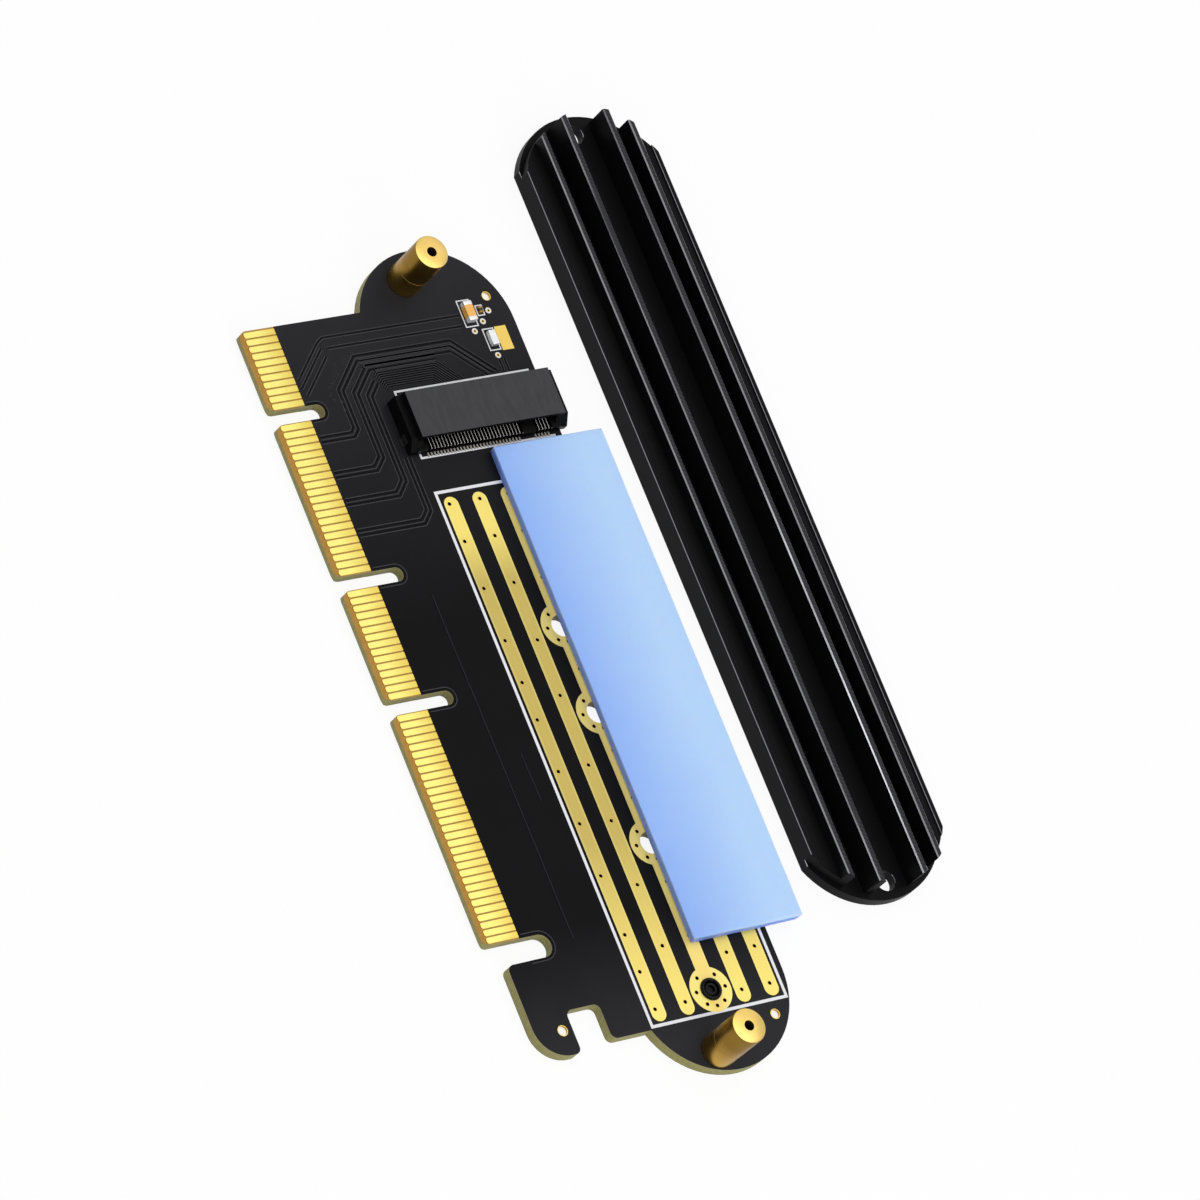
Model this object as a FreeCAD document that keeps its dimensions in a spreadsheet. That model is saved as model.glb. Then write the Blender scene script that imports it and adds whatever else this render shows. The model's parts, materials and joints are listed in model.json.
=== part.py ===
# Adapter card that seats a bare solid-state drive in a long edge-connector slot, laid out in its
# pieces: the card flat on a bench, its soft thermal pad lying on it, and its heatsink lifted off and
# set down beside it.
# Card coordinates, in millimetres: X runs along the edge contacts and is 0 at the middle of the first
# key notch, Y is 0 at the inner ends of the contacts and grows towards the heatsink, and Z is 0 at the
# card's underside. Every piece is then moved so that the part's origin is on the underside, half-way
# between the two standoffs.
import FreeCAD, Part
import math
import os

import Sketcher
from FreeCAD import Vector

SIZES = {
    "printed circuit board": {
        "board_thickness": 1.6,
        "contact_end_margin": 0.65,
        "tail_end_margin": 0.55,
        "edge_margin": 0.45,
        "edge_bevel": 0.4,
        "tongue_corner_radius": 1.0,
        "key_width": 1.95,
        "first_key_end": 2.55,
        "key_end": 4.35,
        "hook_gap_width": 3.05,
        "hook_gap_end": 4.1,
        "hook_edge": 3.2,
        "hook_corner_radius": 4.2,
        "hook_tip_radius": 0.8,
        "hook_overhang": 0.8,
        "latch_notch_start": 2.3,
        "latch_notch_width": 5.0,
        "latch_notch_depth": 4.8,
        "latch_corner_radius": 0.9,
        "drive_axis": 23.7,
        "column_half_width": 11.35,
        "upper_end_margin": 4.0,
        "lower_end_margin": 2.85,
        "lower_edge_margin": 3.34,
        "mask_opening_depth": 0.05,
    },
    "edge contacts": {
        "contact_pitch": 1.0,
        "contact_width": 0.72,
        "contact_length": 4.67,
        "key_span": 3.0,
        "first_contacts": 11,
        "second_contacts": 21,
        "third_contacts": 15,
        "fourth_contacts": 31,
    },
    "bare copper on the drive's side": {
        "copper_thickness": 0.05,
        "strip_width": 2.1,
        "strip_pitch": 4.33,
        "strip_start_gap": 6.25,
        "strip_end_margin": 2.54,
        "via_radius": 0.2,
        "ring_diameter": 6.0,
        "ring_hole_diameter": 3.0,
        "ring_via_circle": 2.2,
        "first_strip_via_shift": -0.3,
    },
    "drives that the card takes": {
        "drive_stop_gap": 1.36,
        "first_drive_length": 30.0,
        "second_drive_length": 42.0,
        "third_drive_length": 60.0,
        "longest_drive_length": 80.0,
    },
    "small plated holes": {
        "plating_thickness": 0.1,
        "hook_hole_margin": 2.42,
        "hook_hole_drop": 1.45,
        "hook_hole_radius": 0.62,
        "upper_hole_shift": 3.75,
        "upper_hole_side": 8.6,
        "upper_hole_radius": 0.55,
        "lower_hole_shift": 2.92,
        "lower_hole_side": 7.7,
        "lower_hole_radius": 0.58,
    },
    "standoffs": {
        "upper_standoff_gap": 15.9,
        "lower_standoff_gap": 7.79,
        "standoff_side_shift": 2.55,
        "standoff_diameter": 4.6,
        "standoff_height": 8.0,
        "standoff_chamfer": 0.15,
        "tapped_hole_diameter": 1.6,
        "tapped_hole_depth": 5.0,
        "tapped_hole_chamfer": 0.1,
        "tenon_diameter": 3.2,
        "tenon_clearance": 0.03,
    },
    "drive nut and screw": {
        "nut_flange_height": 0.35,
        "nut_clearance": 0.03,
        "nut_chamfer": 0.15,
        "nut_recess_diameter": 2.1,
        "nut_recess_depth": 0.75,
        "screw_shank_diameter": 1.6,
        "screw_shank_clearance": 0.03,
        "screw_head_diameter": 1.9,
        "screw_head_height": 0.6,
        "screw_head_chamfer": 0.12,
        "screw_socket_diameter": 0.95,
        "screw_socket_depth": 0.35,
    },
    "drive socket": {
        "socket_back": 0.5,
        "socket_width": 22.0,
        "roof_depth": 6.4,
        "roof_height": 3.05,
        "jaw_depth": 7.45,
        "jaw_height": 1.2,
        "mouth_width": 20.4,
        "mouth_height": 1.2,
        "mouth_depth": 4.6,
        "cheek_thickness": 1.0,
        "cheek_depth": 7.4,
        "cheek_height": 2.1,
        "cheek_front_slope": 1.3,
        "key_rib_place": 16.4,
        "key_rib_width": 1.5,
        "key_rib_setback": 0.3,
        "pin_pitch": 0.5,
        "pin_width": 0.22,
        "pin_thickness": 0.12,
        "pin_clearance": 0.03,
        "first_pin_place": 1.9,
        "long_row_pins": 29,
        "short_row_place": 18.4,
        "front_short_row_pins": 5,
        "rear_short_row_pins": 4,
        "pin_inner_reach": 3.4,
        "tail_reach": 0.55,
        "rear_row_shift": 0.25,
        "hold_down_length": 1.3,
        "hold_down_reach": 0.45,
        "hold_down_height": 1.0,
        "hold_down_thickness": 0.15,
    },
    "white print": {
        "print_thickness": 0.03,
        "drive_print_start_gap": 5.25,
        "drive_print_end_margin": 3.19,
        "drive_print_side_margin": 0.85,
        "drive_print_line": 0.4,
        "socket_print_back_gap": 1.45,
        "socket_print_front_gap": 0.7,
        "socket_print_side_margin": 0.625,
        "socket_print_line": 0.28,
        "socket_print_tick": 0.75,
        "component_print_line": 0.16,
        "component_print_margin": 0.42,
        "resistor_print_margin": 0.21,
    },
    "small components": {
        "capacitor_behind": 10.2,
        "capacitor_side": 4.8,
        "capacitor_length": 2.7,
        "capacitor_width": 1.25,
        "capacitor_height": 0.95,
        "capacitor_terminal": 0.55,
        "resistor_behind": 10.35,
        "resistor_side": 6.8,
        "resistor_length": 0.8,
        "resistor_width": 0.6,
        "resistor_height": 0.38,
        "resistor_terminal": 0.22,
        "led_behind": 6.2,
        "led_side": 6.8,
        "led_length": 2.0,
        "led_width": 1.0,
        "led_height": 0.75,
        "led_terminal": 0.35,
        "gold_pad_behind": 6.15,
        "gold_pad_side": 8.7,
        "gold_pad_length": 3.35,
        "gold_pad_width": 1.75,
        "mark_radius": 0.42,
        "mark_print_line": 0.16,
        "round_mark_behind": 8.81,
        "round_mark_side": 6.6,
        "upper_mark_behind": 10.15,
        "upper_mark_side": 8.05,
        "left_mark_behind": 7.65,
        "left_mark_side": 4.85,
        "lower_mark_behind": 3.93,
        "lower_mark_side": 6.8,
    },
    "thermal pad": {
        "pad_start_gap": 1.6,
        "pad_length": 67.5,
        "pad_edge_shift": 0.5,
        "pad_width": 16.9,
        "pad_thickness": 1.5,
        "pad_corner_radius": 0.8,
    },
    "heatsink": {
        "sink_shift": 16.525,
        "sink_gap": 4.7,
        "sink_end_margin": 2.55,
        "sink_width": 21.0,
        "sink_end_depth": 6.6,
        "sink_rim": 0.9,
        "sink_floor": 1.46,
        "sink_hole_diameter": 2.8,
        "lip_thickness": 0.68,
        "lip_height": 3.18,
        "shoulder_height": 2.9,
        "outer_fin_offset": 3.06,
        "outer_fin_thickness": 0.84,
        "outer_fin_height": 4.8,
        "inner_fin_offset": 6.64,
        "inner_fin_thickness": 0.95,
        "inner_fin_height": 5.48,
        "fin_chamfer": 0.15,
    },
}

# How far the vias lie from the first end of the strips, along them, and how those round a ring are
# turned from the strip's direction, in degrees.
OUTER_STRIP_VIAS = (0.95, 6.2, 12.75, 20.0, 25.8, 30.95, 38.05, 45.2, 52.3, 60.3, 65.3, 70.35)
INNER_STRIP_VIAS = (0.95, 6.15, 12.7, 20.7, 28.4, 38.0, 45.65, 54.4, 62.7, 70.3)
RING_STRIP_VIAS = (0.95, 6.15, 12.7, 25.5, 36.8, 43.3, 54.8, 62.2)
RING_VIA_ANGLES = (0, 37, 90, 143, 217, 270, 323)

# How far a cut runs on past the solid that it is taken from.
OVERRUN = 5


class Size:
    """A length of the sheet, or one worked out from several, with its value and its formula."""

    def __init__(self, value, formula):
        self.value = value
        self.formula = formula

    def __add__(self, other):
        other = size(other)
        return Size(self.value + other.value, f"({self.formula} + {other.formula})")

    def __sub__(self, other):
        other = size(other)
        return Size(self.value - other.value, f"({self.formula} - {other.formula})")

    def __mul__(self, other):
        other = size(other)
        return Size(self.value * other.value, f"({self.formula} * {other.formula})")

    def __truediv__(self, other):
        other = size(other)
        return Size(self.value / other.value, f"({self.formula} / {other.formula})")

    def __neg__(self):
        return size(0) - self


def size(number):
    """A plain number as a Size, or a Size as it is."""
    if isinstance(number, Size):
        return number
    return Size(number, f"({number:.6f})")


class Sheet:
    """The driving dimensions, each under its own name."""


doc = FreeCAD.newDocument("adapter_card")
cells = doc.addObject("Spreadsheet::Sheet", "sizes")
s = Sheet()
row_number = 1
for section, dimensions in SIZES.items():
    cells.set(f"A{row_number}", section)
    row_number += 1
    for alias, number in dimensions.items():
        cells.set(f"A{row_number}", alias.replace("_", " "))
        cells.set(f"B{row_number}", str(number))
        cells.setAlias(f"B{row_number}", alias)
        setattr(s, alias, Size(number, f"sizes.{alias}"))
        row_number += 1
doc.recompute()

# Places that several pieces share.
s.second_key = s.key_span + (s.second_contacts - 1) * s.contact_pitch
s.third_key = s.second_key + s.key_span + (s.third_contacts - 1) * s.contact_pitch
s.first_contact = -(s.key_span / 2 + (s.first_contacts - 1) * s.contact_pitch)
s.last_contact = s.third_key + s.key_span / 2 + (s.fourth_contacts - 1) * s.contact_pitch
s.board_start = s.first_contact - s.contact_end_margin
s.tongue_end = s.last_contact + s.tail_end_margin
s.board_edge = -(s.contact_length + s.edge_margin)
s.socket_front = s.socket_back + s.jaw_depth
s.socket_side = s.drive_axis - s.socket_width / 2
s.drive_stop = s.socket_back + s.roof_depth - s.mouth_depth + s.drive_stop_gap
s.ring_places = (
    s.drive_stop + s.first_drive_length,
    s.drive_stop + s.second_drive_length,
    s.drive_stop + s.third_drive_length,
    s.drive_stop + s.longest_drive_length,
)
s.last_ring = s.ring_places[-1]
s.upper_standoff_x = s.socket_back - s.upper_standoff_gap
s.lower_standoff_x = s.last_ring + s.lower_standoff_gap
s.standoff_spacing = s.lower_standoff_x - s.upper_standoff_x
s.standoff_y = s.drive_axis - s.standoff_side_shift
s.origin_x = (s.upper_standoff_x + s.lower_standoff_x) / 2
s.origin_y = s.standoff_y
s.upper_end_centre = s.upper_standoff_x - s.upper_end_margin + s.column_half_width
s.lower_end_centre = s.lower_standoff_x + s.lower_end_margin - s.column_half_width
s.lower_edge = s.last_ring + s.lower_edge_margin
s.strip_start = s.socket_front + s.strip_start_gap
s.strip_end = s.last_ring + s.strip_end_margin
s.pad_near_edge = s.drive_axis - s.pad_edge_shift
s.nut_radius = s.ring_hole_diameter / 2 - s.nut_clearance
s.groove_width = s.pin_width + s.pin_clearance * 2

SUB_PARTS = []


def placed(piece, label, x, y, z):
    """Labels a sub-part and puts its own zero at a place given in card coordinates."""
    piece.Label = label
    for axis, place in (("x", x - s.origin_x), ("y", y - s.origin_y), ("z", size(z))):
        piece.setExpression(f"Placement.Base.{axis}", place.formula)
    SUB_PARTS.append(piece)
    return piece


def new_body(label, x=0, y=0, z=0):
    """An empty body for one sub-part, which may hold several like solids."""
    piece = doc.addObject("PartDesign::Body", label)
    piece.AllowCompound = True
    return placed(piece, label, size(x), size(y), z)


def origin_feature(piece, role):
    """One of a body's own planes or axes."""
    return next(feature for feature in piece.Origin.OriginFeatures if feature.Role == role)


def new_sketch(piece, plane="XY_Plane", height=0):
    """A sketch on one of the body's planes, lifted along the plane's normal."""
    drawing = piece.newObject("Sketcher::SketchObject", f"{piece.Label}_sketch")
    drawing.AttachmentSupport = [(origin_feature(piece, plane), "")]
    drawing.MapMode = "FlatFace"
    drawing.setExpression("AttachmentOffset.Base.z", size(height).formula)
    return drawing


def bind(drawing, constraint, length):
    """Adds a measured constraint whose value follows the sheet."""
    index = drawing.addConstraint(constraint)
    drawing.setExpression(f"Constraints[{index}]", length.formula)


def pin(drawing, geometry, point, x, y):
    """Fixes a point of the sketch at a place."""
    bind(drawing, Sketcher.Constraint("DistanceX", -1, 1, geometry, point, x.value), x)
    bind(drawing, Sketcher.Constraint("DistanceY", -1, 1, geometry, point, y.value), y)


def polygon(drawing, corners):
    """A closed outline of straight lines through the corners."""
    corners = [(size(x), size(y)) for x, y in corners]
    ends = corners[1:] + corners[:1]
    lines = []
    for (x, y), (next_x, next_y) in zip(corners, ends):
        start = Vector(x.value, y.value, 0)
        end = Vector(next_x.value, next_y.value, 0)
        lines.append(drawing.addGeometry(Part.LineSegment(start, end), False))
    for line, following in zip(lines, lines[1:] + lines[:1]):
        drawing.addConstraint(Sketcher.Constraint("Coincident", line, 2, following, 1))
    for line, (x, y) in zip(lines, corners):
        pin(drawing, line, 1, x, y)


def rectangle(drawing, left, near, right, far):
    """A rectangle between two opposite corners."""
    polygon(drawing, ((left, near), (right, near), (right, far), (left, far)))


def centred_rectangle(drawing, x, y, length, width):
    """A rectangle about its centre."""
    rectangle(drawing, x - length / 2, y - width / 2, x + length / 2, y + width / 2)


def circle(drawing, x, y, radius):
    """A circle about a place."""
    x, y, radius = size(x), size(y), size(radius)
    shape = Part.Circle(Vector(x.value, y.value, 0), Vector(0, 0, 1), radius.value)
    geometry = drawing.addGeometry(shape, False)
    pin(drawing, geometry, 3, x, y)
    bind(drawing, Sketcher.Constraint("Radius", geometry, radius.value), radius)


def slot(drawing, start, end, middle, width):
    """A slot with round ends, or a strip of that outline, along the sketch's first direction."""
    radius = width / 2
    first, last = start + radius, end - radius
    normal = Vector(0, 0, 1)
    first_circle = Part.Circle(Vector(first.value, middle.value, 0), normal, radius.value)
    last_circle = Part.Circle(Vector(last.value, middle.value, 0), normal, radius.value)
    first_arc = drawing.addGeometry(Part.ArcOfCircle(first_circle, math.pi / 2, 3 * math.pi / 2), False)
    last_arc = drawing.addGeometry(Part.ArcOfCircle(last_circle, -math.pi / 2, math.pi / 2), False)
    sides = []
    for side in (-1, 1):
        height = middle.value + side * radius.value
        line = Part.LineSegment(Vector(first.value, height, 0), Vector(last.value, height, 0))
        sides.append(drawing.addGeometry(line, False))
        drawing.addConstraint(Sketcher.Constraint("Horizontal", sides[-1]))
    near, far = sides
    for line, line_end, arc, arc_end in ((near, 1, first_arc, 2), (near, 2, last_arc, 1),
                                         (far, 2, last_arc, 2), (far, 1, first_arc, 1)):
        drawing.addConstraint(Sketcher.Constraint("Coincident", line, line_end, arc, arc_end))
    for arc in (first_arc, last_arc):
        for arc_end in (1, 2):
            drawing.addConstraint(Sketcher.Constraint("Vertical", arc, 3, arc, arc_end))
    pin(drawing, first_arc, 3, first, middle)
    bind(drawing, Sketcher.Constraint("DistanceX", -1, 1, last_arc, 3, last.value), last)
    bind(drawing, Sketcher.Constraint("Radius", first_arc, radius.value), radius)


def pad(piece, drawing, length, down=False, both_ways=False):
    """Raises a sketch into a solid."""
    feature = piece.newObject("PartDesign::Pad", f"{piece.Label}_pad")
    feature.Profile = drawing
    feature.SideType = "Symmetric" if both_ways else "One side"
    feature.Reversed = down
    feature.setExpression("Length", size(length).formula)
    doc.recompute()
    return feature


def pocket(piece, drawing, depth=None, up=False):
    """Cuts a sketch out of the solid, by a depth or right through, and makes sure that it cut."""
    before = piece.Shape.Volume
    feature = piece.newObject("PartDesign::Pocket", f"{piece.Label}_pocket")
    feature.Profile = drawing
    if depth is None:
        feature.Type = "ThroughAll"
        feature.SideType = "Symmetric"
    else:
        feature.Reversed = up
        feature.setExpression("Length", size(depth).formula)
    doc.recompute()
    if not piece.Shape.Volume < before:
        raise RuntimeError(f"a pocket of {piece.Label} cuts nothing")
    return feature


def row(piece, feature, axis, spacing, count):
    """Repeats a feature in a straight row."""
    copies = piece.newObject("PartDesign::LinearPattern", f"{piece.Label}_row")
    copies.Originals = [feature]
    copies.Direction = (origin_feature(piece, axis), [""])
    copies.Mode = "Spacing"
    copies.setExpression("Offset", size(spacing).formula)
    copies.setExpression("Occurrences", size(count).formula)
    piece.Tip = copies
    doc.recompute()


def turned(piece, outline):
    """Turns a half section, given as radius and height, about the vertical axis."""
    drawing = new_sketch(piece, "XZ_Plane")
    polygon(drawing, outline)
    feature = piece.newObject("PartDesign::Revolution", f"{piece.Label}_turning")
    feature.Profile = drawing
    feature.ReferenceAxis = (origin_feature(piece, "Z_Axis"), [""])
    feature.Angle = 360
    doc.recompute()


def upright_edges(shape, places, reach=0.05):
    """The names of the vertical edges that stand at the given places."""
    names = []
    for number, edge in enumerate(shape.Edges, 1):
        ends = [vertex.Point for vertex in edge.Vertexes]
        if len(ends) != 2 or math.hypot(ends[0].x - ends[1].x, ends[0].y - ends[1].y) > reach:
            continue
        if any(math.hypot(ends[0].x - x.value, ends[0].y - y.value) < reach for x, y in places):
            names.append(f"Edge{number}")
    return names


def round_corners(piece, places, radius):
    """Rounds the vertical edges at the given places, all of which must be there."""
    base = piece.Tip
    names = upright_edges(base.Shape, places)
    if len(names) < len(places):
        raise RuntimeError(f"{piece.Label} has {len(names)} of {len(places)} corners to round")
    feature = piece.newObject("PartDesign::Fillet", f"{piece.Label}_rounding")
    feature.Base = (base, names)
    feature.setExpression("Radius", radius.formula)
    doc.recompute()


def block(label, x, y, z, length, width, height):
    """A plain block between its low corner and its sizes."""
    piece = doc.addObject("Part::Box", label)
    for name, amount in (("Length", length), ("Width", width), ("Height", height)):
        piece.setExpression(name, amount.formula)
    for axis, place in (("x", x), ("y", y), ("z", size(z))):
        piece.setExpression(f"Placement.Base.{axis}", place.formula)
    return piece


# Circuit board: one sheet of laminate, routed to its outline, with key notches along the contact edge,
# the latch hook at one end, a round-ended column for the drive, and its drilled holes.
def make_circuit_board():
    board = new_body("circuit_board")
    thickness = s.board_thickness
    lower_edge = s.lower_edge
    hook_start = s.tongue_end + s.hook_gap_width
    hook_end = lower_edge + s.hook_overhang
    hook_edge = -s.hook_edge
    notch_floor = lower_edge - s.latch_notch_depth
    notch_end = s.latch_notch_start + s.latch_notch_width
    beyond = s.board_edge - OVERRUN
    clear_end = hook_end + OVERRUN

    deck = new_sketch(board)
    rectangle(deck, s.board_start, s.board_edge, lower_edge, s.drive_axis)
    pad(board, deck, thickness)
    hook = new_sketch(board)
    rectangle(hook, notch_floor, hook_edge, hook_end, s.latch_notch_start)
    pad(board, hook, thickness)
    column = new_sketch(board)
    rectangle(column, s.upper_end_centre, s.drive_axis - s.column_half_width,
              s.lower_end_centre, s.drive_axis + s.column_half_width)
    pad(board, column, thickness)
    for end in (s.upper_end_centre, s.lower_end_centre):
        round_end = new_sketch(board)
        circle(round_end, end, s.drive_axis, s.column_half_width)
        pad(board, round_end, thickness)

    step = new_sketch(board)
    rectangle(step, hook_start, beyond, clear_end, hook_edge)
    pocket(board, step)
    latch = new_sketch(board)
    rectangle(latch, notch_floor, s.latch_notch_start, clear_end, notch_end)
    pocket(board, latch)
    keys = ((size(0), s.first_key_end), (s.second_key, s.key_end), (s.third_key, s.key_end))
    for place, inner_end in keys:
        open_slot(board, place - s.key_width / 2, place + s.key_width / 2, beyond, inner_end)
    open_slot(board, s.tongue_end, hook_start, beyond, s.hook_gap_end)

    outer_corners = [(s.board_start, s.board_edge), (s.tongue_end, s.board_edge)]
    for place, _ in keys:
        outer_corners.append((place - s.key_width / 2, s.board_edge))
        outer_corners.append((place + s.key_width / 2, s.board_edge))
    round_corners(board, outer_corners, s.tongue_corner_radius)
    round_corners(board, [(hook_end, hook_edge)], s.hook_corner_radius)
    round_corners(board, [(hook_end, s.latch_notch_start)], s.hook_tip_radius)
    round_corners(board, [(hook_start, hook_edge), (notch_floor, s.latch_notch_start),
                          (notch_floor, notch_end), (lower_edge, notch_end)], s.latch_corner_radius)

    # The contact edge is bevelled on both faces, and the mask is left off both faces round the contacts.
    bevel = new_sketch(board, "YZ_Plane", s.board_start - OVERRUN)
    for face, inward in ((size(0), 1), (thickness, -1)):
        outside = face - size(OVERRUN) * inward
        depth = face + s.edge_bevel * inward
        polygon(bevel, (
            (beyond, outside),
            (-s.contact_length, outside),
            (-s.contact_length, face),
            (s.board_edge, depth),
            (beyond, depth),
        ))
    pocket(board, bevel, s.tongue_end - s.board_start + OVERRUN + s.hook_gap_width / 2, up=True)
    for face, up in ((size(0), True), (thickness, False)):
        opening = new_sketch(board, height=face)
        rectangle(opening, s.board_start - OVERRUN, beyond, s.tongue_end + s.hook_gap_width / 2, 0)
        pocket(board, opening, s.mask_opening_depth, up=up)

    holes = new_sketch(board)
    for ring in s.ring_places:
        circle(holes, ring, s.drive_axis, s.ring_hole_diameter / 2)
    for standoff in (s.upper_standoff_x, s.lower_standoff_x):
        circle(holes, standoff, s.standoff_y, s.tenon_diameter / 2 + s.tenon_clearance)
    for x, y, radius in small_holes():
        circle(holes, x, y, radius + s.plating_thickness)
    pocket(board, holes)


def open_slot(board, start, end, outside, inner_end):
    """Routes a slot with a round inner end in from the contact edge."""
    middle = (start + end) / 2
    radius = (end - start) / 2
    straight = new_sketch(board)
    rectangle(straight, start, outside, end, inner_end - radius)
    pocket(board, straight)
    inner = new_sketch(board)
    circle(inner, middle, inner_end - radius, radius)
    pocket(board, inner)


def small_holes():
    """The places and radii of the small plated holes."""
    return (
        (s.lower_edge - s.hook_hole_margin, s.latch_notch_start - s.hook_hole_drop, s.hook_hole_radius),
        (s.upper_standoff_x + s.upper_hole_shift, s.drive_axis + s.upper_hole_side, s.upper_hole_radius),
        (s.lower_standoff_x - s.lower_hole_shift, s.drive_axis + s.lower_hole_side, s.lower_hole_radius),
    )


# Edge contacts: gold-plated copper bars, one row on each face, in four groups parted by the key notches.
# They lie in the mask openings, flush with the mask.
def make_edge_contacts(label, level):
    contacts = new_body(label, z=level)
    groups = (
        (s.first_contact, s.first_contacts),
        (s.key_span / 2, s.second_contacts),
        (s.second_key + s.key_span / 2, s.third_contacts),
        (s.third_key + s.key_span / 2, s.fourth_contacts),
    )
    for first, count in groups:
        bar = new_sketch(contacts)
        rectangle(bar, first - s.contact_width / 2, -s.contact_length, first + s.contact_width / 2, 0)
        row(contacts, pad(contacts, bar, s.mask_opening_depth), "X_Axis", s.contact_pitch, count)


# Copper strips: long gold-plated strips under the drive, with plated via holes. The middle one joins
# the four rings round the holes where drives of four lengths are held down.
def make_copper_strip(label, place, vias, via_shift):
    strip = new_body(label, y=s.drive_axis + s.strip_pitch * place, z=s.board_thickness)
    outline = new_sketch(strip)
    slot(outline, s.strip_start, s.strip_end, size(0), s.strip_width)
    pad(strip, outline, s.copper_thickness)
    drill_vias(strip, [(s.strip_start + via, via_shift) for via in vias])


def make_ring_strip():
    strip = new_body("ring_strip", y=s.drive_axis, z=s.board_thickness)
    outline = new_sketch(strip)
    slot(outline, s.strip_start, s.last_ring, size(0), s.strip_width)
    pad(strip, outline, s.copper_thickness)
    vias = [(s.strip_start + via, size(0)) for via in RING_STRIP_VIAS]
    for ring in s.ring_places:
        disc = new_sketch(strip)
        circle(disc, ring, 0, s.ring_diameter / 2)
        pad(strip, disc, s.copper_thickness)
        for angle in RING_VIA_ANGLES:
            turn = math.radians(angle)
            vias.append((ring + s.ring_via_circle * math.cos(turn), s.ring_via_circle * math.sin(turn)))
    holes = new_sketch(strip)
    for ring in s.ring_places:
        circle(holes, ring, 0, s.ring_hole_diameter / 2)
    pocket(strip, holes)
    drill_vias(strip, vias)


def drill_vias(strip, places):
    """Drills the small via holes of a strip."""
    drilling = new_sketch(strip)
    for x, y in places:
        circle(drilling, x, y, s.via_radius)
    pocket(strip, drilling)


# Hole liners: the plated walls of the three small holes.
def make_hole_liners():
    liners = new_body("hole_liners")
    for x, y, radius in small_holes():
        wall = new_sketch(liners)
        circle(wall, x, y, radius + s.plating_thickness)
        circle(wall, x, y, radius)
        pad(liners, wall, s.board_thickness)


# Standoffs: turned brass posts that carry the heatsink. A tenon goes through the board and is
# soldered flush with its underside, and the top is tapped for the heatsink's screw.
def make_standoff(label, x):
    post = new_body(label, x, s.standoff_y, s.board_thickness)
    radius = s.standoff_diameter / 2
    bore = s.tapped_hole_diameter / 2
    top = s.standoff_height
    turned(post, (
        (0, -s.board_thickness),
        (s.tenon_diameter / 2, -s.board_thickness),
        (s.tenon_diameter / 2, 0),
        (radius, 0),
        (radius, top - s.standoff_chamfer),
        (radius - s.standoff_chamfer, top),
        (bore + s.tapped_hole_chamfer, top),
        (bore, top - s.tapped_hole_chamfer),
        (bore, top - s.tapped_hole_depth),
        (0, top - s.tapped_hole_depth),
    ))


# Drive nut and screw: a black bush pressed into the hole for the longest drive, and the small
# socket-head screw in it that holds the drive's end down.
def make_drive_nut():
    nut = new_body("drive_nut", s.last_ring, s.drive_axis, s.board_thickness)
    top = s.copper_thickness + s.nut_flange_height
    bore = s.screw_shank_diameter / 2 + s.screw_shank_clearance
    turned(nut, (
        (bore, -s.board_thickness),
        (s.nut_radius, -s.board_thickness),
        (s.nut_radius, top - s.nut_chamfer),
        (s.nut_radius - s.nut_chamfer, top),
        (s.nut_recess_diameter / 2, top),
        (s.nut_recess_diameter / 2, top - s.nut_recess_depth),
        (bore, top - s.nut_recess_depth),
    ))


def make_drive_screw():
    seat = s.copper_thickness + s.nut_flange_height - s.nut_recess_depth
    screw = new_body("drive_screw", s.last_ring, s.drive_axis, s.board_thickness + seat)
    shank = s.screw_shank_diameter / 2
    head = s.screw_head_diameter / 2
    top = s.screw_head_height
    turned(screw, (
        (0, -(s.board_thickness + seat)),
        (shank, -(s.board_thickness + seat)),
        (shank, 0),
        (head, 0),
        (head, top - s.screw_head_chamfer),
        (head - s.screw_head_chamfer, top),
        (s.screw_socket_diameter / 2, top),
        (s.screw_socket_diameter / 2, top - s.screw_socket_depth),
        (0, top - s.screw_socket_depth),
    ))


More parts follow.
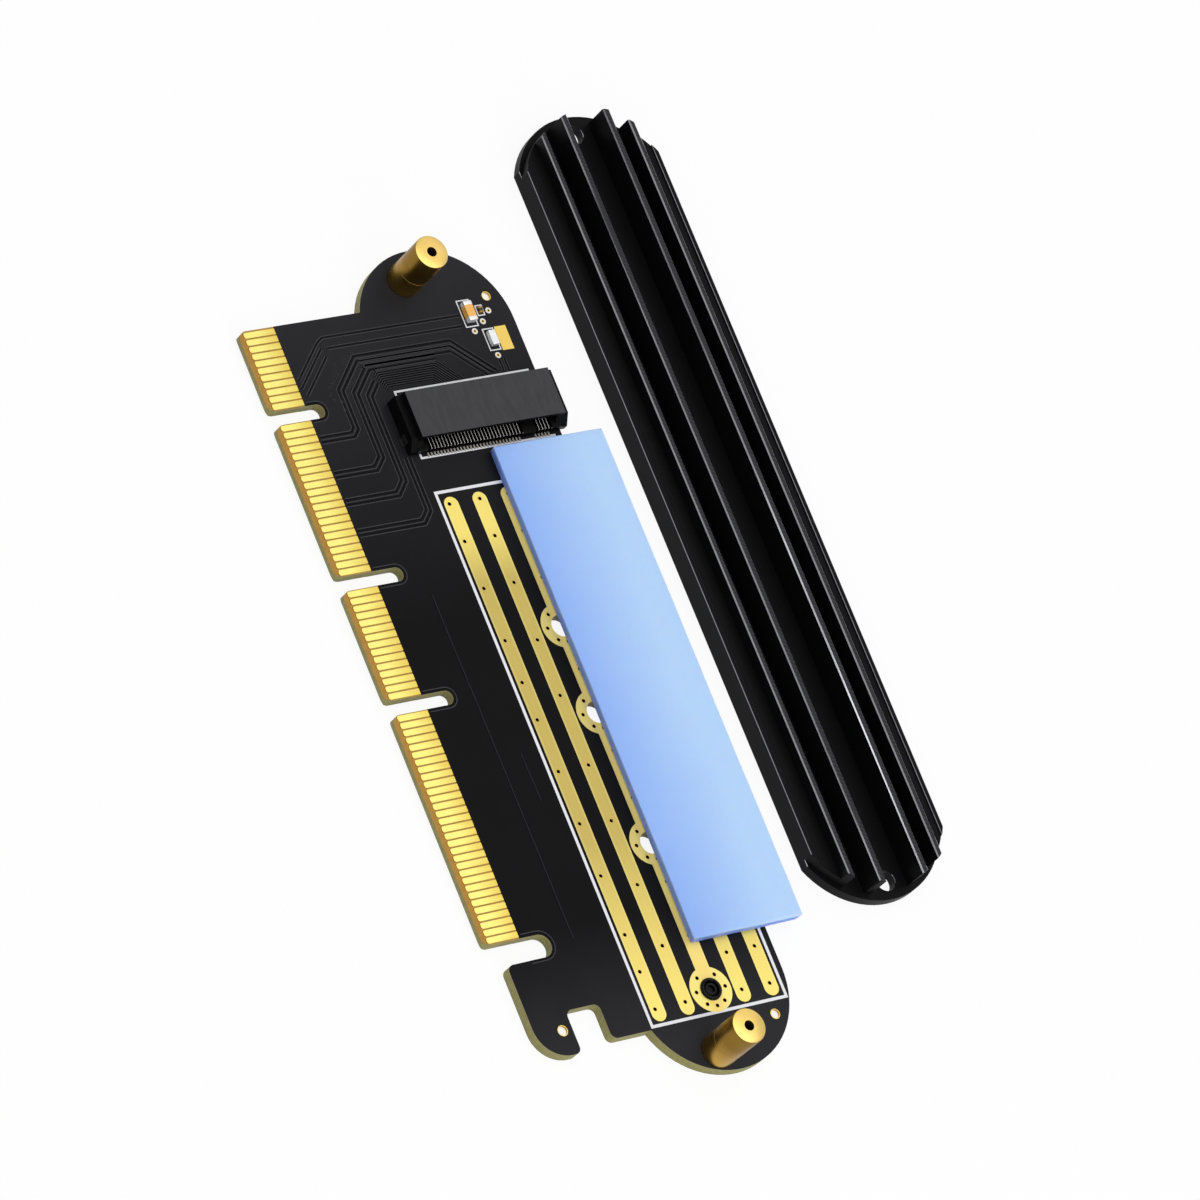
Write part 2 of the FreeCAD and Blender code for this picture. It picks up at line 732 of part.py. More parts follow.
# Drive socket: a moulded black housing with a mouth for the drive's edge, open towards the rings. Its own
# X starts at the back wall and its Y at the side wall, so its sizes stay its own.
def make_socket_housing():
    housing = new_body("socket_housing", s.socket_back, s.socket_side, s.board_thickness)
    roof = new_sketch(housing)
    rectangle(roof, 0, 0, s.roof_depth, s.socket_width)
    pad(housing, roof, s.roof_height)
    jaw = new_sketch(housing)
    rectangle(jaw, 0, 0, s.jaw_depth, s.socket_width)
    pad(housing, jaw, s.jaw_height)
    cheek_profile = (
        (0, 0),
        (s.cheek_depth, 0),
        (s.cheek_depth, s.cheek_height - s.cheek_front_slope),
        (s.cheek_depth - s.cheek_front_slope, s.cheek_height),
        (0, s.cheek_height),
    )
    mouth_side = (s.socket_width - s.mouth_width) / 2
    for start in (-s.cheek_thickness, s.socket_width - mouth_side):
        # The XZ plane's normal points to -Y, so its height is turned round.
        cheek = new_sketch(housing, "XZ_Plane", -start)
        polygon(cheek, cheek_profile)
        pad(housing, cheek, s.cheek_thickness + mouth_side, down=True)
    mouth = new_sketch(housing, height=s.jaw_height)
    rectangle(mouth, s.roof_depth - s.mouth_depth, mouth_side,
              s.jaw_depth + OVERRUN, s.socket_width - mouth_side)
    pocket(housing, mouth, s.mouth_height, up=True)
    rib = new_sketch(housing, height=s.jaw_height)
    rectangle(rib, s.roof_depth - s.mouth_depth, s.key_rib_place,
              s.roof_depth - s.key_rib_setback, s.key_rib_place + s.key_rib_width)
    pad(housing, rib, s.mouth_height)

    for profile, groups in ((front_groove(), front_groups()), (rear_groove(), rear_groups())):
        for place, count in groups:
            groove = new_sketch(housing, "XZ_Plane", -(place - s.groove_width / 2))
            polygon(groove, profile)
            cut = pocket(housing, groove, s.groove_width, up=True)
            row(housing, cut, "Y_Axis", s.pin_pitch, count)


def front_groups():
    """The first place and the count of each group of front pins, from the housing's side wall."""
    return (
        (s.first_pin_place, s.long_row_pins),
        (s.short_row_place, s.front_short_row_pins),
    )


def rear_groups():
    """The same for the rear pins, which stand half a pitch further along."""
    return (
        (s.first_pin_place + s.rear_row_shift, s.long_row_pins),
        (s.short_row_place + s.rear_row_shift, s.rear_short_row_pins),
    )


def front_path(gap):
    """The outer and inner faces of a front pin's bent end, and the top and underside of its long arm."""
    front = s.jaw_depth + gap
    back = s.jaw_depth - s.pin_thickness - gap
    top = s.jaw_height + gap
    under = s.jaw_height - s.pin_thickness - gap
    return front, back, top, under


def front_groove():
    front, back, top, under = front_path(s.pin_clearance)
    return (
        (s.roof_depth - s.pin_inner_reach, under),
        (back, under),
        (back, size(0) - s.pin_clearance),
        (front + OVERRUN, size(0) - s.pin_clearance),
        (front + OVERRUN, top),
        (s.roof_depth - s.pin_inner_reach, top),
    )


def front_pin():
    front, back, top, under = front_path(size(0))
    return (
        (s.roof_depth - s.pin_inner_reach + s.pin_clearance, under),
        (back, under),
        (back, size(0)),
        (front + s.tail_reach, size(0)),
        (front + s.tail_reach, s.pin_thickness),
        (front, s.pin_thickness),
        (front, top),
        (s.roof_depth - s.pin_inner_reach + s.pin_clearance, top),
    )


def rear_groove():
    back = s.roof_depth - s.mouth_depth
    gap = s.pin_clearance
    return (
        (-OVERRUN, -gap),
        (back + s.pin_thickness + gap, -gap),
        (back + s.pin_thickness + gap, s.jaw_height + gap),
        (back - gap, s.jaw_height + gap),
        (back - gap, s.pin_thickness + gap),
        (-OVERRUN, s.pin_thickness + gap),
    )


def rear_pin():
    ceiling = s.jaw_height + s.mouth_height
    back = s.roof_depth - s.mouth_depth
    return (
        (s.pin_clearance, 0),
        (back + s.pin_thickness, 0),
        (back + s.pin_thickness, ceiling - s.pin_thickness),
        (back + s.pin_inner_reach, ceiling - s.pin_thickness),
        (back + s.pin_inner_reach, ceiling),
        (back, ceiling),
        (back, s.pin_thickness),
        (s.pin_clearance, s.pin_thickness),
    )


# Socket pins: stamped, gold-plated springs. The front row lies on the lower jaw and is soldered in front
# of the housing, and the rear row hangs under the roof and is soldered beneath the back wall.
def make_socket_pins(label, profile, groups):
    pins = new_body(label, s.socket_back, s.socket_side, s.board_thickness)
    for place, count in groups:
        drawing = new_sketch(pins, "XZ_Plane", -(place - s.pin_width / 2))
        polygon(drawing, profile)
        row(pins, pad(pins, drawing, s.pin_width, down=True), "Y_Axis", s.pin_pitch, count)


# Hold-downs: tinned tabs bent round the foot of each cheek and soldered to the board.
def make_hold_downs():
    tabs = new_body("socket_hold_downs", s.socket_back, s.socket_side, s.board_thickness)
    end = s.cheek_depth - s.cheek_front_slope
    start = end - s.hold_down_length
    for side, wall in ((-1, -s.cheek_thickness), (1, s.socket_width + s.cheek_thickness)):
        drawing = new_sketch(tabs, "YZ_Plane", start)
        polygon(drawing, (
            (wall, 0),
            (wall + s.hold_down_reach * side, 0),
            (wall + s.hold_down_reach * side, s.hold_down_thickness),
            (wall + s.hold_down_thickness * side, s.hold_down_thickness),
            (wall + s.hold_down_thickness * side, s.hold_down_height),
            (wall, s.hold_down_height),
        ))
        pad(tabs, drawing, s.hold_down_length)


# White print: the outline of the drive's place, the corners of the socket's place, and the outlines
# of the small components, each a thin film of ink on the mask.
def make_drive_print():
    ink = new_body("drive_area_print", z=s.board_thickness)
    frame = new_sketch(ink)
    start = s.socket_front + s.drive_print_start_gap
    end = s.last_ring + s.drive_print_end_margin
    middle = (start + end) / 2
    length = end - start
    width = (s.column_half_width - s.drive_print_side_margin) * 2
    centred_rectangle(frame, middle, s.drive_axis, length, width)
    centred_rectangle(frame, middle, s.drive_axis, length - s.drive_print_line * 2,
                      width - s.drive_print_line * 2)
    pad(ink, frame, s.print_thickness)


def make_socket_print():
    ink = new_body("socket_print", z=s.board_thickness)
    line = s.socket_print_line
    low = s.socket_side + s.socket_print_side_margin
    high = s.socket_side + s.socket_width - s.socket_print_side_margin
    back = s.socket_back - s.socket_print_back_gap
    front = s.socket_front + s.socket_print_front_gap
    for outer, inward in ((back, 1), (front, -1)):
        bracket = new_sketch(ink)
        polygon(bracket, (
            (outer, low),
            (outer, high),
            (outer + line * inward, high),
            (outer + line * inward, low + line),
            (outer + s.socket_print_tick * inward, low + line),
            (outer + s.socket_print_tick * inward, low),
        ))
        pad(ink, bracket, s.print_thickness)


def make_component_print():
    ink = new_body("component_print", z=s.board_thickness)
    line = s.component_print_line
    outlines = (
        (capacitor_place(), s.capacitor_length, s.capacitor_width, s.component_print_margin),
        (resistor_place(), s.resistor_length, s.resistor_width, s.resistor_print_margin),
        (led_place(), s.led_length, s.led_width, s.component_print_margin),
    )
    for (x, y), length, width, margin in outlines:
        frame = new_sketch(ink)
        inner_length = length + margin * 2
        inner_width = width + margin
        centred_rectangle(frame, x, y, inner_length + line * 2, inner_width + line * 2)
        centred_rectangle(frame, x, y, inner_length, inner_width)
        pad(ink, frame, s.print_thickness)
    for x, y in round_marks():
        ring = new_sketch(ink)
        circle(ring, x, y, s.mark_radius)
        circle(ring, x, y, s.mark_radius - s.mark_print_line)
        pad(ink, ring, s.print_thickness)


def behind_socket(behind, side):
    """A place told from the socket's back wall and from the drive's axis."""
    return s.socket_back - behind, s.drive_axis + side


def capacitor_place():
    return behind_socket(s.capacitor_behind, s.capacitor_side)


def resistor_place():
    return behind_socket(s.resistor_behind, s.resistor_side)


def led_place():
    return behind_socket(s.led_behind, s.led_side)


def round_marks():
    """The places of the small ringed test pads."""
    return (
        behind_socket(s.round_mark_behind, s.round_mark_side),
        behind_socket(s.upper_mark_behind, s.upper_mark_side),
        behind_socket(s.left_mark_behind, s.left_mark_side),
        behind_socket(s.lower_mark_behind, s.lower_mark_side),
    )


def make_test_pads():
    dots = new_body("test_pads", z=s.board_thickness)
    for x, y in round_marks():
        dot = new_sketch(dots)
        circle(dot, x, y, s.mark_radius - s.mark_print_line)
        pad(dots, dot, s.print_thickness)


def make_gold_pad():
    x, y = behind_socket(s.gold_pad_behind, s.gold_pad_side)
    plate = new_body("bare_gold_pad", x, y, s.board_thickness)
    outline = new_sketch(plate)
    centred_rectangle(outline, size(0), size(0), s.gold_pad_length, s.gold_pad_width)
    pad(plate, outline, s.copper_thickness)


# Small components: a chip capacitor, a chip resistor and an indicator light, each a body between
# two metal ends that are soldered to the board.
def make_chip(name, place, length, width, height, terminal):
    x, y = place
    inner = length - terminal * 2
    body = block(f"{name}_block", -inner / 2, -width / 2, 0, inner, width, height)
    placed_group(f"{name}_body", [body], x, y)
    ends = [
        block(f"{name}_start", -length / 2, -width / 2, 0, terminal, width, height),
        block(f"{name}_finish", inner / 2, -width / 2, 0, terminal, width, height),
    ]
    placed_group(f"{name}_terminals", ends, x, y)


def placed_group(label, solids, x, y):
    """A sub-part on the board's top face made of one or more plain solids."""
    group = doc.addObject("Part::Compound", label)
    group.Links = solids
    placed(group, label, x, y, s.board_thickness)


# Thermal pad: a soft sheet of filled silicone. It lies on the copper strips, with one side out over
# the board's edge.
def make_thermal_pad():
    level = s.board_thickness + s.copper_thickness
    sheet = new_body("thermal_pad", s.socket_front + s.pad_start_gap, s.pad_near_edge, level)
    outline = new_sketch(sheet)
    rectangle(outline, 0, 0, s.pad_length, s.pad_width)
    pad(sheet, outline, s.pad_thickness)
    corners = [(size(x), size(y)) for x in (0, s.pad_length) for y in (0, s.pad_width)]
    round_corners(sheet, corners, s.pad_corner_radius)


# Heatsink: one black-anodised aluminium extrusion with four fins and two side lips, its ends milled
# round, with a screw hole near each end. Its own zero is the middle of its flat underside.
def make_heatsink():
    half = s.sink_width / 2
    y = s.pad_near_edge + s.pad_width + s.sink_gap + half
    sink = new_body("heatsink", s.origin_x - s.sink_shift, y)
    half_length = s.standoff_spacing / 2 + s.sink_end_margin
    outer, inner = s.outer_fin_offset, s.inner_fin_offset
    outer_end = outer + s.outer_fin_thickness
    inner_end = inner + s.inner_fin_thickness
    chamfer = s.fin_chamfer
    side = [
        (size(0), size(0)),
        (size(0), s.lip_height),
        (s.lip_thickness, s.lip_height),
        (s.lip_thickness, s.shoulder_height),
        (outer, s.shoulder_height),
        (outer, s.outer_fin_height - chamfer),
        (outer + chamfer, s.outer_fin_height),
        (outer_end - chamfer, s.outer_fin_height),
        (outer_end, s.outer_fin_height - chamfer),
        (outer_end, s.sink_floor),
        (inner, s.sink_floor),
        (inner, s.inner_fin_height - chamfer),
        (inner + chamfer, s.inner_fin_height),
        (inner_end - chamfer, s.inner_fin_height),
        (inner_end, s.inner_fin_height - chamfer),
        (inner_end, s.sink_floor),
    ]
    section = new_sketch(sink, "YZ_Plane")
    polygon(section, [(y - half, z) for y, z in side] + [(half - y, z) for y, z in reversed(side)])
    pad(sink, section, half_length * 2, both_ways=True)

    # The ends are milled round, and above the floor a little further back.
    for end, level in ((half_length, size(0)), (half_length - s.sink_rim, s.sink_floor)):
        surround = new_sketch(sink, height=level)
        centred_rectangle(surround, size(0), size(0), half_length * 2 + OVERRUN, s.sink_width + OVERRUN)
        round_ended_outline(surround, end, half, s.sink_end_depth)
        pocket(sink, surround, s.inner_fin_height + OVERRUN, up=True)
    holes = new_sketch(sink)
    for place in (-(s.standoff_spacing / 2), s.standoff_spacing / 2):
        circle(holes, place, 0, s.sink_hole_diameter / 2)
    pocket(sink, holes)


def round_ended_outline(drawing, end, half, depth):
    """A long outline with straight sides and a shallow arc at each end."""
    radius = (half * half + depth * depth) / (depth * 2)
    centre = end - radius
    corner = end - depth
    spread = math.atan2(half.value, (corner - centre).value)
    normal = Vector(0, 0, 1)
    right_circle = Part.Circle(Vector(centre.value, 0, 0), normal, radius.value)
    left_circle = Part.Circle(Vector(-centre.value, 0, 0), normal, radius.value)
    right = drawing.addGeometry(Part.ArcOfCircle(right_circle, -spread, spread), False)
    left = drawing.addGeometry(Part.ArcOfCircle(left_circle, math.pi - spread, math.pi + spread), False)
    x, y = corner.value, half.value
    far_line = Part.LineSegment(Vector(x, y, 0), Vector(-x, y, 0))
    near_line = Part.LineSegment(Vector(-x, -y, 0), Vector(x, -y, 0))
    far = drawing.addGeometry(far_line, False)
    near = drawing.addGeometry(near_line, False)
    for line, line_end, arc, arc_end in ((far, 1, right, 2), (far, 2, left, 1),
                                         (near, 1, left, 2), (near, 2, right, 1)):
        drawing.addConstraint(Sketcher.Constraint("Coincident", line, line_end, arc, arc_end))
    pin(drawing, far, 1, corner, half)
    pin(drawing, far, 2, -corner, half)
    pin(drawing, near, 1, -corner, -half)
    pin(drawing, near, 2, corner, -half)
    for arc in (right, left):
        bind(drawing, Sketcher.Constraint("Radius", arc, radius.value), radius)


make_circuit_board()
make_edge_contacts("edge_contacts_front", s.board_thickness - s.mask_opening_depth)
make_edge_contacts("edge_contacts_back", 0)
make_copper_strip("copper_strip_1", -2, OUTER_STRIP_VIAS, s.first_strip_via_shift)
make_copper_strip("copper_strip_2", -1, INNER_STRIP_VIAS, size(0))
make_ring_strip()
make_copper_strip("copper_strip_4", 1, OUTER_STRIP_VIAS, size(0))
make_copper_strip("copper_strip_5", 2, OUTER_STRIP_VIAS, size(0))
make_hole_liners()
make_standoff("upper_standoff", s.upper_standoff_x)
make_standoff("lower_standoff", s.lower_standoff_x)
make_drive_nut()
make_drive_screw()
make_socket_housing()
make_socket_pins("socket_front_pins", front_pin(), front_groups())
make_socket_pins("socket_rear_pins", rear_pin(), rear_groups())
make_hold_downs()
make_drive_print()
make_socket_print()
make_component_print()
make_test_pads()
make_gold_pad()
make_chip("capacitor", capacitor_place(), s.capacitor_length, s.capacitor_width,
          s.capacitor_height, s.capacitor_terminal)
make_chip("resistor", resistor_place(), s.resistor_length, s.resistor_width,
          s.resistor_height, s.resistor_terminal)
make_chip("led", led_place(), s.led_length, s.led_width, s.led_height, s.led_terminal)
make_thermal_pad()
make_heatsink()

doc.recompute()
for item in doc.Objects:
    if "Invalid" in item.State or "Error" in item.State:
        raise RuntimeError(f"{item.Label} failed: {item.State}")
for piece in SUB_PARTS:
    if piece.Shape.isNull() or not piece.Shape.isValid():
        raise RuntimeError(f"{piece.Label} has no sound shape")
os.makedirs("parts", exist_ok=True)
for piece in SUB_PARTS:
    piece.Shape.exportStep(f"parts/{piece.Label}.step")
    print(piece.Label, len(piece.Shape.Solids), "solids,", round(piece.Shape.Volume, 3), "mm3")
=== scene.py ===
import json
import math

import bmesh
import bpy
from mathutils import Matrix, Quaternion, Vector, noise

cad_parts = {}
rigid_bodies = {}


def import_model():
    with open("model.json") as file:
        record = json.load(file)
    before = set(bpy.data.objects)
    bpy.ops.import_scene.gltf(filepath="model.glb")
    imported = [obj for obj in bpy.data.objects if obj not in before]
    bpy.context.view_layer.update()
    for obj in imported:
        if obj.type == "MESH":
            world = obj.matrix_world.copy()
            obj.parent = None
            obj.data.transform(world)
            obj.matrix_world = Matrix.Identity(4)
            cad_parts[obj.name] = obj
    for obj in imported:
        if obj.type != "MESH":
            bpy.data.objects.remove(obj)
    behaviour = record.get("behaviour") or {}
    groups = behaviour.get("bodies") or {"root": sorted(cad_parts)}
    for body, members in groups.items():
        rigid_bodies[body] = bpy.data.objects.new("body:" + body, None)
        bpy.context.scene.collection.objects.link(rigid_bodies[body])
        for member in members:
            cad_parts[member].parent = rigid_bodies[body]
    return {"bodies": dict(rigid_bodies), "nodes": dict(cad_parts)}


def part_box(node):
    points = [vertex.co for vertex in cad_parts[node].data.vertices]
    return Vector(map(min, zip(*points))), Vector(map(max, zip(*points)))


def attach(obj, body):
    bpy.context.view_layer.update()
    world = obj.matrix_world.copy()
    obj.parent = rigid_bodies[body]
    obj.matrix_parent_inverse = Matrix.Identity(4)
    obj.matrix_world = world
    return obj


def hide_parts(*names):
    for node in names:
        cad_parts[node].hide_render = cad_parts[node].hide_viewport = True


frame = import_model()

# The bench. What a new file puts on it is cleared away before anything is dressed.
for thing in list(bpy.data.objects):
    if thing.name not in frame["nodes"] and thing not in frame["bodies"].values():
        bpy.data.objects.remove(thing)
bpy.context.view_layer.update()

# The camera. The card is seen from its contacts' side, from well above and turned on its corner, with
# a long lens at about a metre. Its place was fitted to the ends of the contact groups, the rings
# along the drive, the socket's corners and the standoffs.
MM = 0.001
CAMERA_PLACE = Vector((259.59, -547.853, 750.188)) * MM
CAMERA_HEADING = math.radians(25.54)
CAMERA_HEIGHT = math.radians(50.47)
CAMERA_ROLL = math.radians(47.41)
CAMERA_LENS = 233.4

camera = bpy.data.objects.new("camera", bpy.data.cameras.new("camera"))
bpy.context.scene.collection.objects.link(camera)
camera.data.sensor_width = 36
camera.data.lens = CAMERA_LENS
camera.data.clip_start = 0.05
camera.data.clip_end = 20
towards_camera = Vector((
    math.sin(CAMERA_HEADING) * math.cos(CAMERA_HEIGHT),
    -math.cos(CAMERA_HEADING) * math.cos(CAMERA_HEIGHT),
    math.sin(CAMERA_HEIGHT),
))
camera.location = CAMERA_PLACE
camera.rotation_mode = "QUATERNION"
camera.rotation_quaternion = (
    (-towards_camera).to_track_quat("-Z", "Y") @ Quaternion((0, 0, 1), CAMERA_ROLL)
)
bpy.context.scene.camera = camera
bpy.context.scene.view_settings.view_transform = "Standard"


# The table and its light. A sheet of white card lies under the part, with one large soft lamp above
# it, one beyond it for the metal to shine in, a low one at its end and an even pale surround.
def linear(code):
    """An sRGB hex colour, such as #8fb8f8, as the linear colour that a shader reads."""
    parts = [int(code[start:start + 2], 16) / 255 for start in (1, 3, 5)]
    return (*[c / 12.92 if c <= 0.04045 else ((c + 0.055) / 1.055) ** 2.4 for c in parts], 1)


def add(tree, kind, sockets=None, **settings):
    """Adds a node to a tree, with its settings, and sets or links its sockets."""
    made = tree.nodes.new(kind)
    for setting, value in settings.items():
        setattr(made, setting, value)
    for socket, value in (sockets or {}).items():
        if isinstance(value, bpy.types.NodeSocket):
            tree.links.new(value, made.inputs[socket])
        else:
            made.inputs[socket].default_value = value
    return made


def new_finish(name, **values):
    """A material of one shader: the material, its tree, the shader and its Object coordinates."""
    finish = bpy.data.materials.new(name)
    finish.use_nodes = True
    tree = finish.node_tree
    tree.nodes.clear()
    named = {socket.replace("_", " "): value for socket, value in values.items()}
    shader = add(tree, "ShaderNodeBsdfPrincipled", named)
    add(tree, "ShaderNodeOutputMaterial", {"Surface": shader.outputs[0]})
    return finish, tree, shader, add(tree, "ShaderNodeTexCoord").outputs["Object"]


TABLE_SIZE = 4.0
TABLE_DROP = 0.02 * MM
OWN_WHITE = 0.9

table_mesh = bpy.data.meshes.new("table")
half = TABLE_SIZE / 2
table_mesh.from_pydata(
    [(-half, -half, -TABLE_DROP), (half, -half, -TABLE_DROP),
     (half, half, -TABLE_DROP), (-half, half, -TABLE_DROP)],
    [], [(0, 1, 2, 3)],
)
table = bpy.data.objects.new("table", table_mesh)
bpy.context.scene.collection.objects.link(table)

white_card = bpy.data.materials.new("white_card")
white_card.use_nodes = True
tree = white_card.node_tree
tree.nodes.clear()
paper = add(tree, "ShaderNodeBsdfDiffuse", {"Color": linear("#f4f4f4")})
shine = add(tree, "ShaderNodeEmission", {"Color": linear("#ffffff"), "Strength": 1.0})
bright_paper = add(
    tree, "ShaderNodeMixShader", {0: OWN_WHITE, 1: paper.outputs[0], 2: shine.outputs[0]}
)
path = add(tree, "ShaderNodeLightPath")
seen = add(
    tree, "ShaderNodeMath",
    {0: path.outputs["Is Camera Ray"], 1: path.outputs["Is Glossy Ray"]}, operation="MAXIMUM",
)
seen = add(
    tree, "ShaderNodeMath",
    {0: seen.outputs[0], 1: path.outputs["Is Transmission Ray"]}, operation="MAXIMUM",
)
surface = add(
    tree, "ShaderNodeMixShader", {0: seen.outputs[0], 1: paper.outputs[0], 2: bright_paper.outputs[0]}
)
add(tree, "ShaderNodeOutputMaterial", {"Surface": surface.outputs[0]})
table.data.materials.append(white_card)

SURROUND = 0.62
world = bpy.data.worlds.new("pale_surround")
bpy.context.scene.world = world
world.use_nodes = True
tree = world.node_tree
tree.nodes.clear()
path = add(tree, "ShaderNodeLightPath")
seen = add(
    tree, "ShaderNodeMath",
    {0: path.outputs["Is Camera Ray"], 1: path.outputs["Is Transmission Ray"]}, operation="MAXIMUM",
)
strength = add(
    tree, "ShaderNodeMapRange", {"Value": seen.outputs[0], "To Min": SURROUND, "To Max": 1.0}
)
sky = add(
    tree, "ShaderNodeBackground",
    {"Color": linear("#ffffff"), "Strength": strength.outputs[0]},
)
add(tree, "ShaderNodeOutputWorld", {"Surface": sky.outputs[0]})


def hang_lamp(name, place, aim, width, watts):
    """A square softbox, in metres, turned towards what it lights."""
    lamp = bpy.data.objects.new(name, bpy.data.lights.new(name, "AREA"))
    bpy.context.scene.collection.objects.link(lamp)
    lamp.data.shape = "SQUARE"
    lamp.data.size = width
    lamp.data.energy = watts
    lamp.location = place
    lamp.rotation_mode = "QUATERNION"
    lamp.rotation_quaternion = (Vector(aim) - Vector(place)).to_track_quat("-Z", "Y")
    return lamp


hang_lamp("overhead_softbox", (0.05, 0.05, 0.8), (0, 0, 0), 0.9, 2.5)
hang_lamp("far_softbox", (-0.4, 0.55, 0.62), (-0.02, 0, 0), 0.55, 0.3)
hang_lamp("end_softbox", (0.45, -0.05, 0.2), (-0.03, 0, 0), 0.3, 0.6)


# The circuit board: woven glass in epoxy, 1.6 mm thick, routed to its outline and dipped in black
# solder mask on both faces. The routed sides and the bevelled plug edge show the bare laminate.
SAME_POINT = 0.0005 * MM
FLAT_ANGLE = math.radians(0.5)
MASK_DEPTH = 0.03 * MM
BOARD_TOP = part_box("circuit_board")[1].z
FLAT_UP = 0.98
BEVEL_UP = 0.1


def link_finishes(piece, *finishes):
    """Gives a piece these materials, in this order."""
    piece.data.materials.clear()
    for finish in finishes:
        piece.data.materials.append(finish)


def soften(piece, radius):
    """Rounds a node's sharp edges with modifiers, which leave its own mesh alone."""
    weld = piece.modifiers.new("joined_faces", "WELD")
    weld.merge_threshold = SAME_POINT
    flats = piece.modifiers.new("whole_flats", "DECIMATE")
    flats.decimate_type = "DISSOLVE"
    flats.angle_limit = FLAT_ANGLE
    flats.delimit = {"MATERIAL"}
    edges = piece.modifiers.new("rounded_edges", "BEVEL")
    edges.width = radius
    edges.segments = 2
    edges.limit_method = "ANGLE"
    edges.angle_limit = math.radians(35)
    edges.use_clamp_overlap = True
    shading = piece.modifiers.new("even_shading", "WEIGHTED_NORMAL")
    shading.keep_sharp = False
    for face in piece.data.polygons:
        face.use_smooth = True


def two_tone(tree, place, grain, dark, pale, detail=2.0):
    """A colour that wanders between two, in grains of so many millimetres, and its pattern."""
    spots = add(
        tree, "ShaderNodeTexNoise", {"Vector": place, "Scale": 1 / (grain * MM), "Detail": detail}
    )
    shade = add(
        tree, "ShaderNodeMix",
        {0: spots.outputs["Fac"], 6: linear(dark), 7: linear(pale)}, data_type="RGBA",
    )
    return shade.outputs[2], spots.outputs["Fac"]


def grained_finish(name, grain, dark, pale, detail=2.0, **values):
    """A material with a colour of two tones and nothing more."""
    finish, tree, shader, place = new_finish(name, **values)
    tree.links.new(two_tone(tree, place, grain, dark, pale, detail)[0], shader.inputs["Base Color"])
    return finish


# Liquid photo-imaged solder mask over copper: a satin black lacquer, a shade greyer towards both
# ends and darkest across the middle, with a faint orange-peel surface from the curtain coater.
solder_mask, tree, shader, place = new_finish(
    "black_solder_mask", Roughness=0.45, IOR=1.5, Specular_IOR_Level=0.07
)
apart = add(tree, "ShaderNodeSeparateXYZ", {0: place})
along = add(
    tree, "ShaderNodeMapRange",
    {"Value": apart.outputs["X"], "From Min": -57 * MM, "From Max": -8 * MM},
)
far_along = add(
    tree, "ShaderNodeMapRange",
    {"Value": apart.outputs["X"], "From Min": 34 * MM, "From Max": 52 * MM},
)
near_shade = add(
    tree, "ShaderNodeMix",
    {0: along.outputs[0], 6: linear("#2a2a2d"), 7: linear("#0b0b0d")}, data_type="RGBA",
)
mask_shade = add(
    tree, "ShaderNodeMix",
    {0: far_along.outputs[0], 6: near_shade.outputs[2], 7: linear("#2b2b2e")}, data_type="RGBA",
)
cloud = add(tree, "ShaderNodeTexNoise", {"Vector": place, "Scale": 1 / (9 * MM), "Detail": 3.0})
cloudy = add(
    tree, "ShaderNodeMix",
    {0: 0.25, 6: mask_shade.outputs[2], 7: cloud.outputs["Fac"]},
    data_type="RGBA", blend_type="OVERLAY",
)
# The crests of the raised lips and rims are painted a lighter grey, a painted highlight.
height = add(
    tree, "ShaderNodeMapRange",
    {"Value": apart.outputs["Z"],
     "From Min": BOARD_TOP + 0.008 * MM, "From Max": BOARD_TOP + 0.03 * MM},
)
crest_highlight = add(
    tree, "ShaderNodeMix",
    {0: height.outputs[0], 6: cloudy.outputs[2], 7: linear("#47474c")}, data_type="RGBA",
)
tree.links.new(crest_highlight.outputs[2], shader.inputs["Base Color"])
peel = add(tree, "ShaderNodeTexNoise", {"Vector": place, "Scale": 1 / (0.35 * MM), "Detail": 2.0})
bump = add(
    tree, "ShaderNodeBump",
    {"Strength": 0.12, "Distance": 0.01 * MM, "Height": peel.outputs["Fac"]},
)
tree.links.new(bump.outputs[0], shader.inputs["Normal"])

# Routed glass-epoxy laminate: olive-tan and matt, with the plies of cloth as fine level lines, and a
# thin dark line of solder mask at each face.
laminate, tree, shader, place = new_finish("glass_epoxy_laminate", Roughness=0.62, IOR=1.55)
apart = add(tree, "ShaderNodeSeparateXYZ", {0: place})
PLY = 0.2 * MM
plies = add(tree, "ShaderNodeMath", {0: apart.outputs["Z"], 1: 1 / PLY}, operation="MULTIPLY")
plies = add(tree, "ShaderNodeMath", {0: plies.outputs[0], 1: 1.0}, operation="PINGPONG")
fibres = add(tree, "ShaderNodeTexNoise", {"Vector": place, "Scale": 1 / (0.5 * MM), "Detail": 4.0})
ply_shade = add(
    tree, "ShaderNodeMix",
    {0: plies.outputs[0], 6: linear("#7c773f"), 7: linear("#948e54")}, data_type="RGBA",
)
streaky = add(
    tree, "ShaderNodeMix",
    {0: 0.35, 6: ply_shade.outputs[2], 7: fibres.outputs["Fac"]},
    data_type="RGBA", blend_type="OVERLAY",
)
from_middle = add(
    tree, "ShaderNodeMath", {0: apart.outputs["Z"], 1: BOARD_TOP / 2}, operation="SUBTRACT"
)
from_middle = add(tree, "ShaderNodeMath", {0: from_middle.outputs[0]}, operation="ABSOLUTE")
at_face = add(
    tree, "ShaderNodeMapRange",
    {"Value": from_middle.outputs[0],
     "From Min": BOARD_TOP / 2 - 0.1 * MM, "From Max": BOARD_TOP / 2 - 0.04 * MM},
)
edge_line = add(
    tree, "ShaderNodeMix",
    {0: at_face.outputs[0], 6: streaky.outputs[2], 7: linear("#1c1b14")}, data_type="RGBA",
)
tree.links.new(edge_line.outputs[2], shader.inputs["Base Color"])
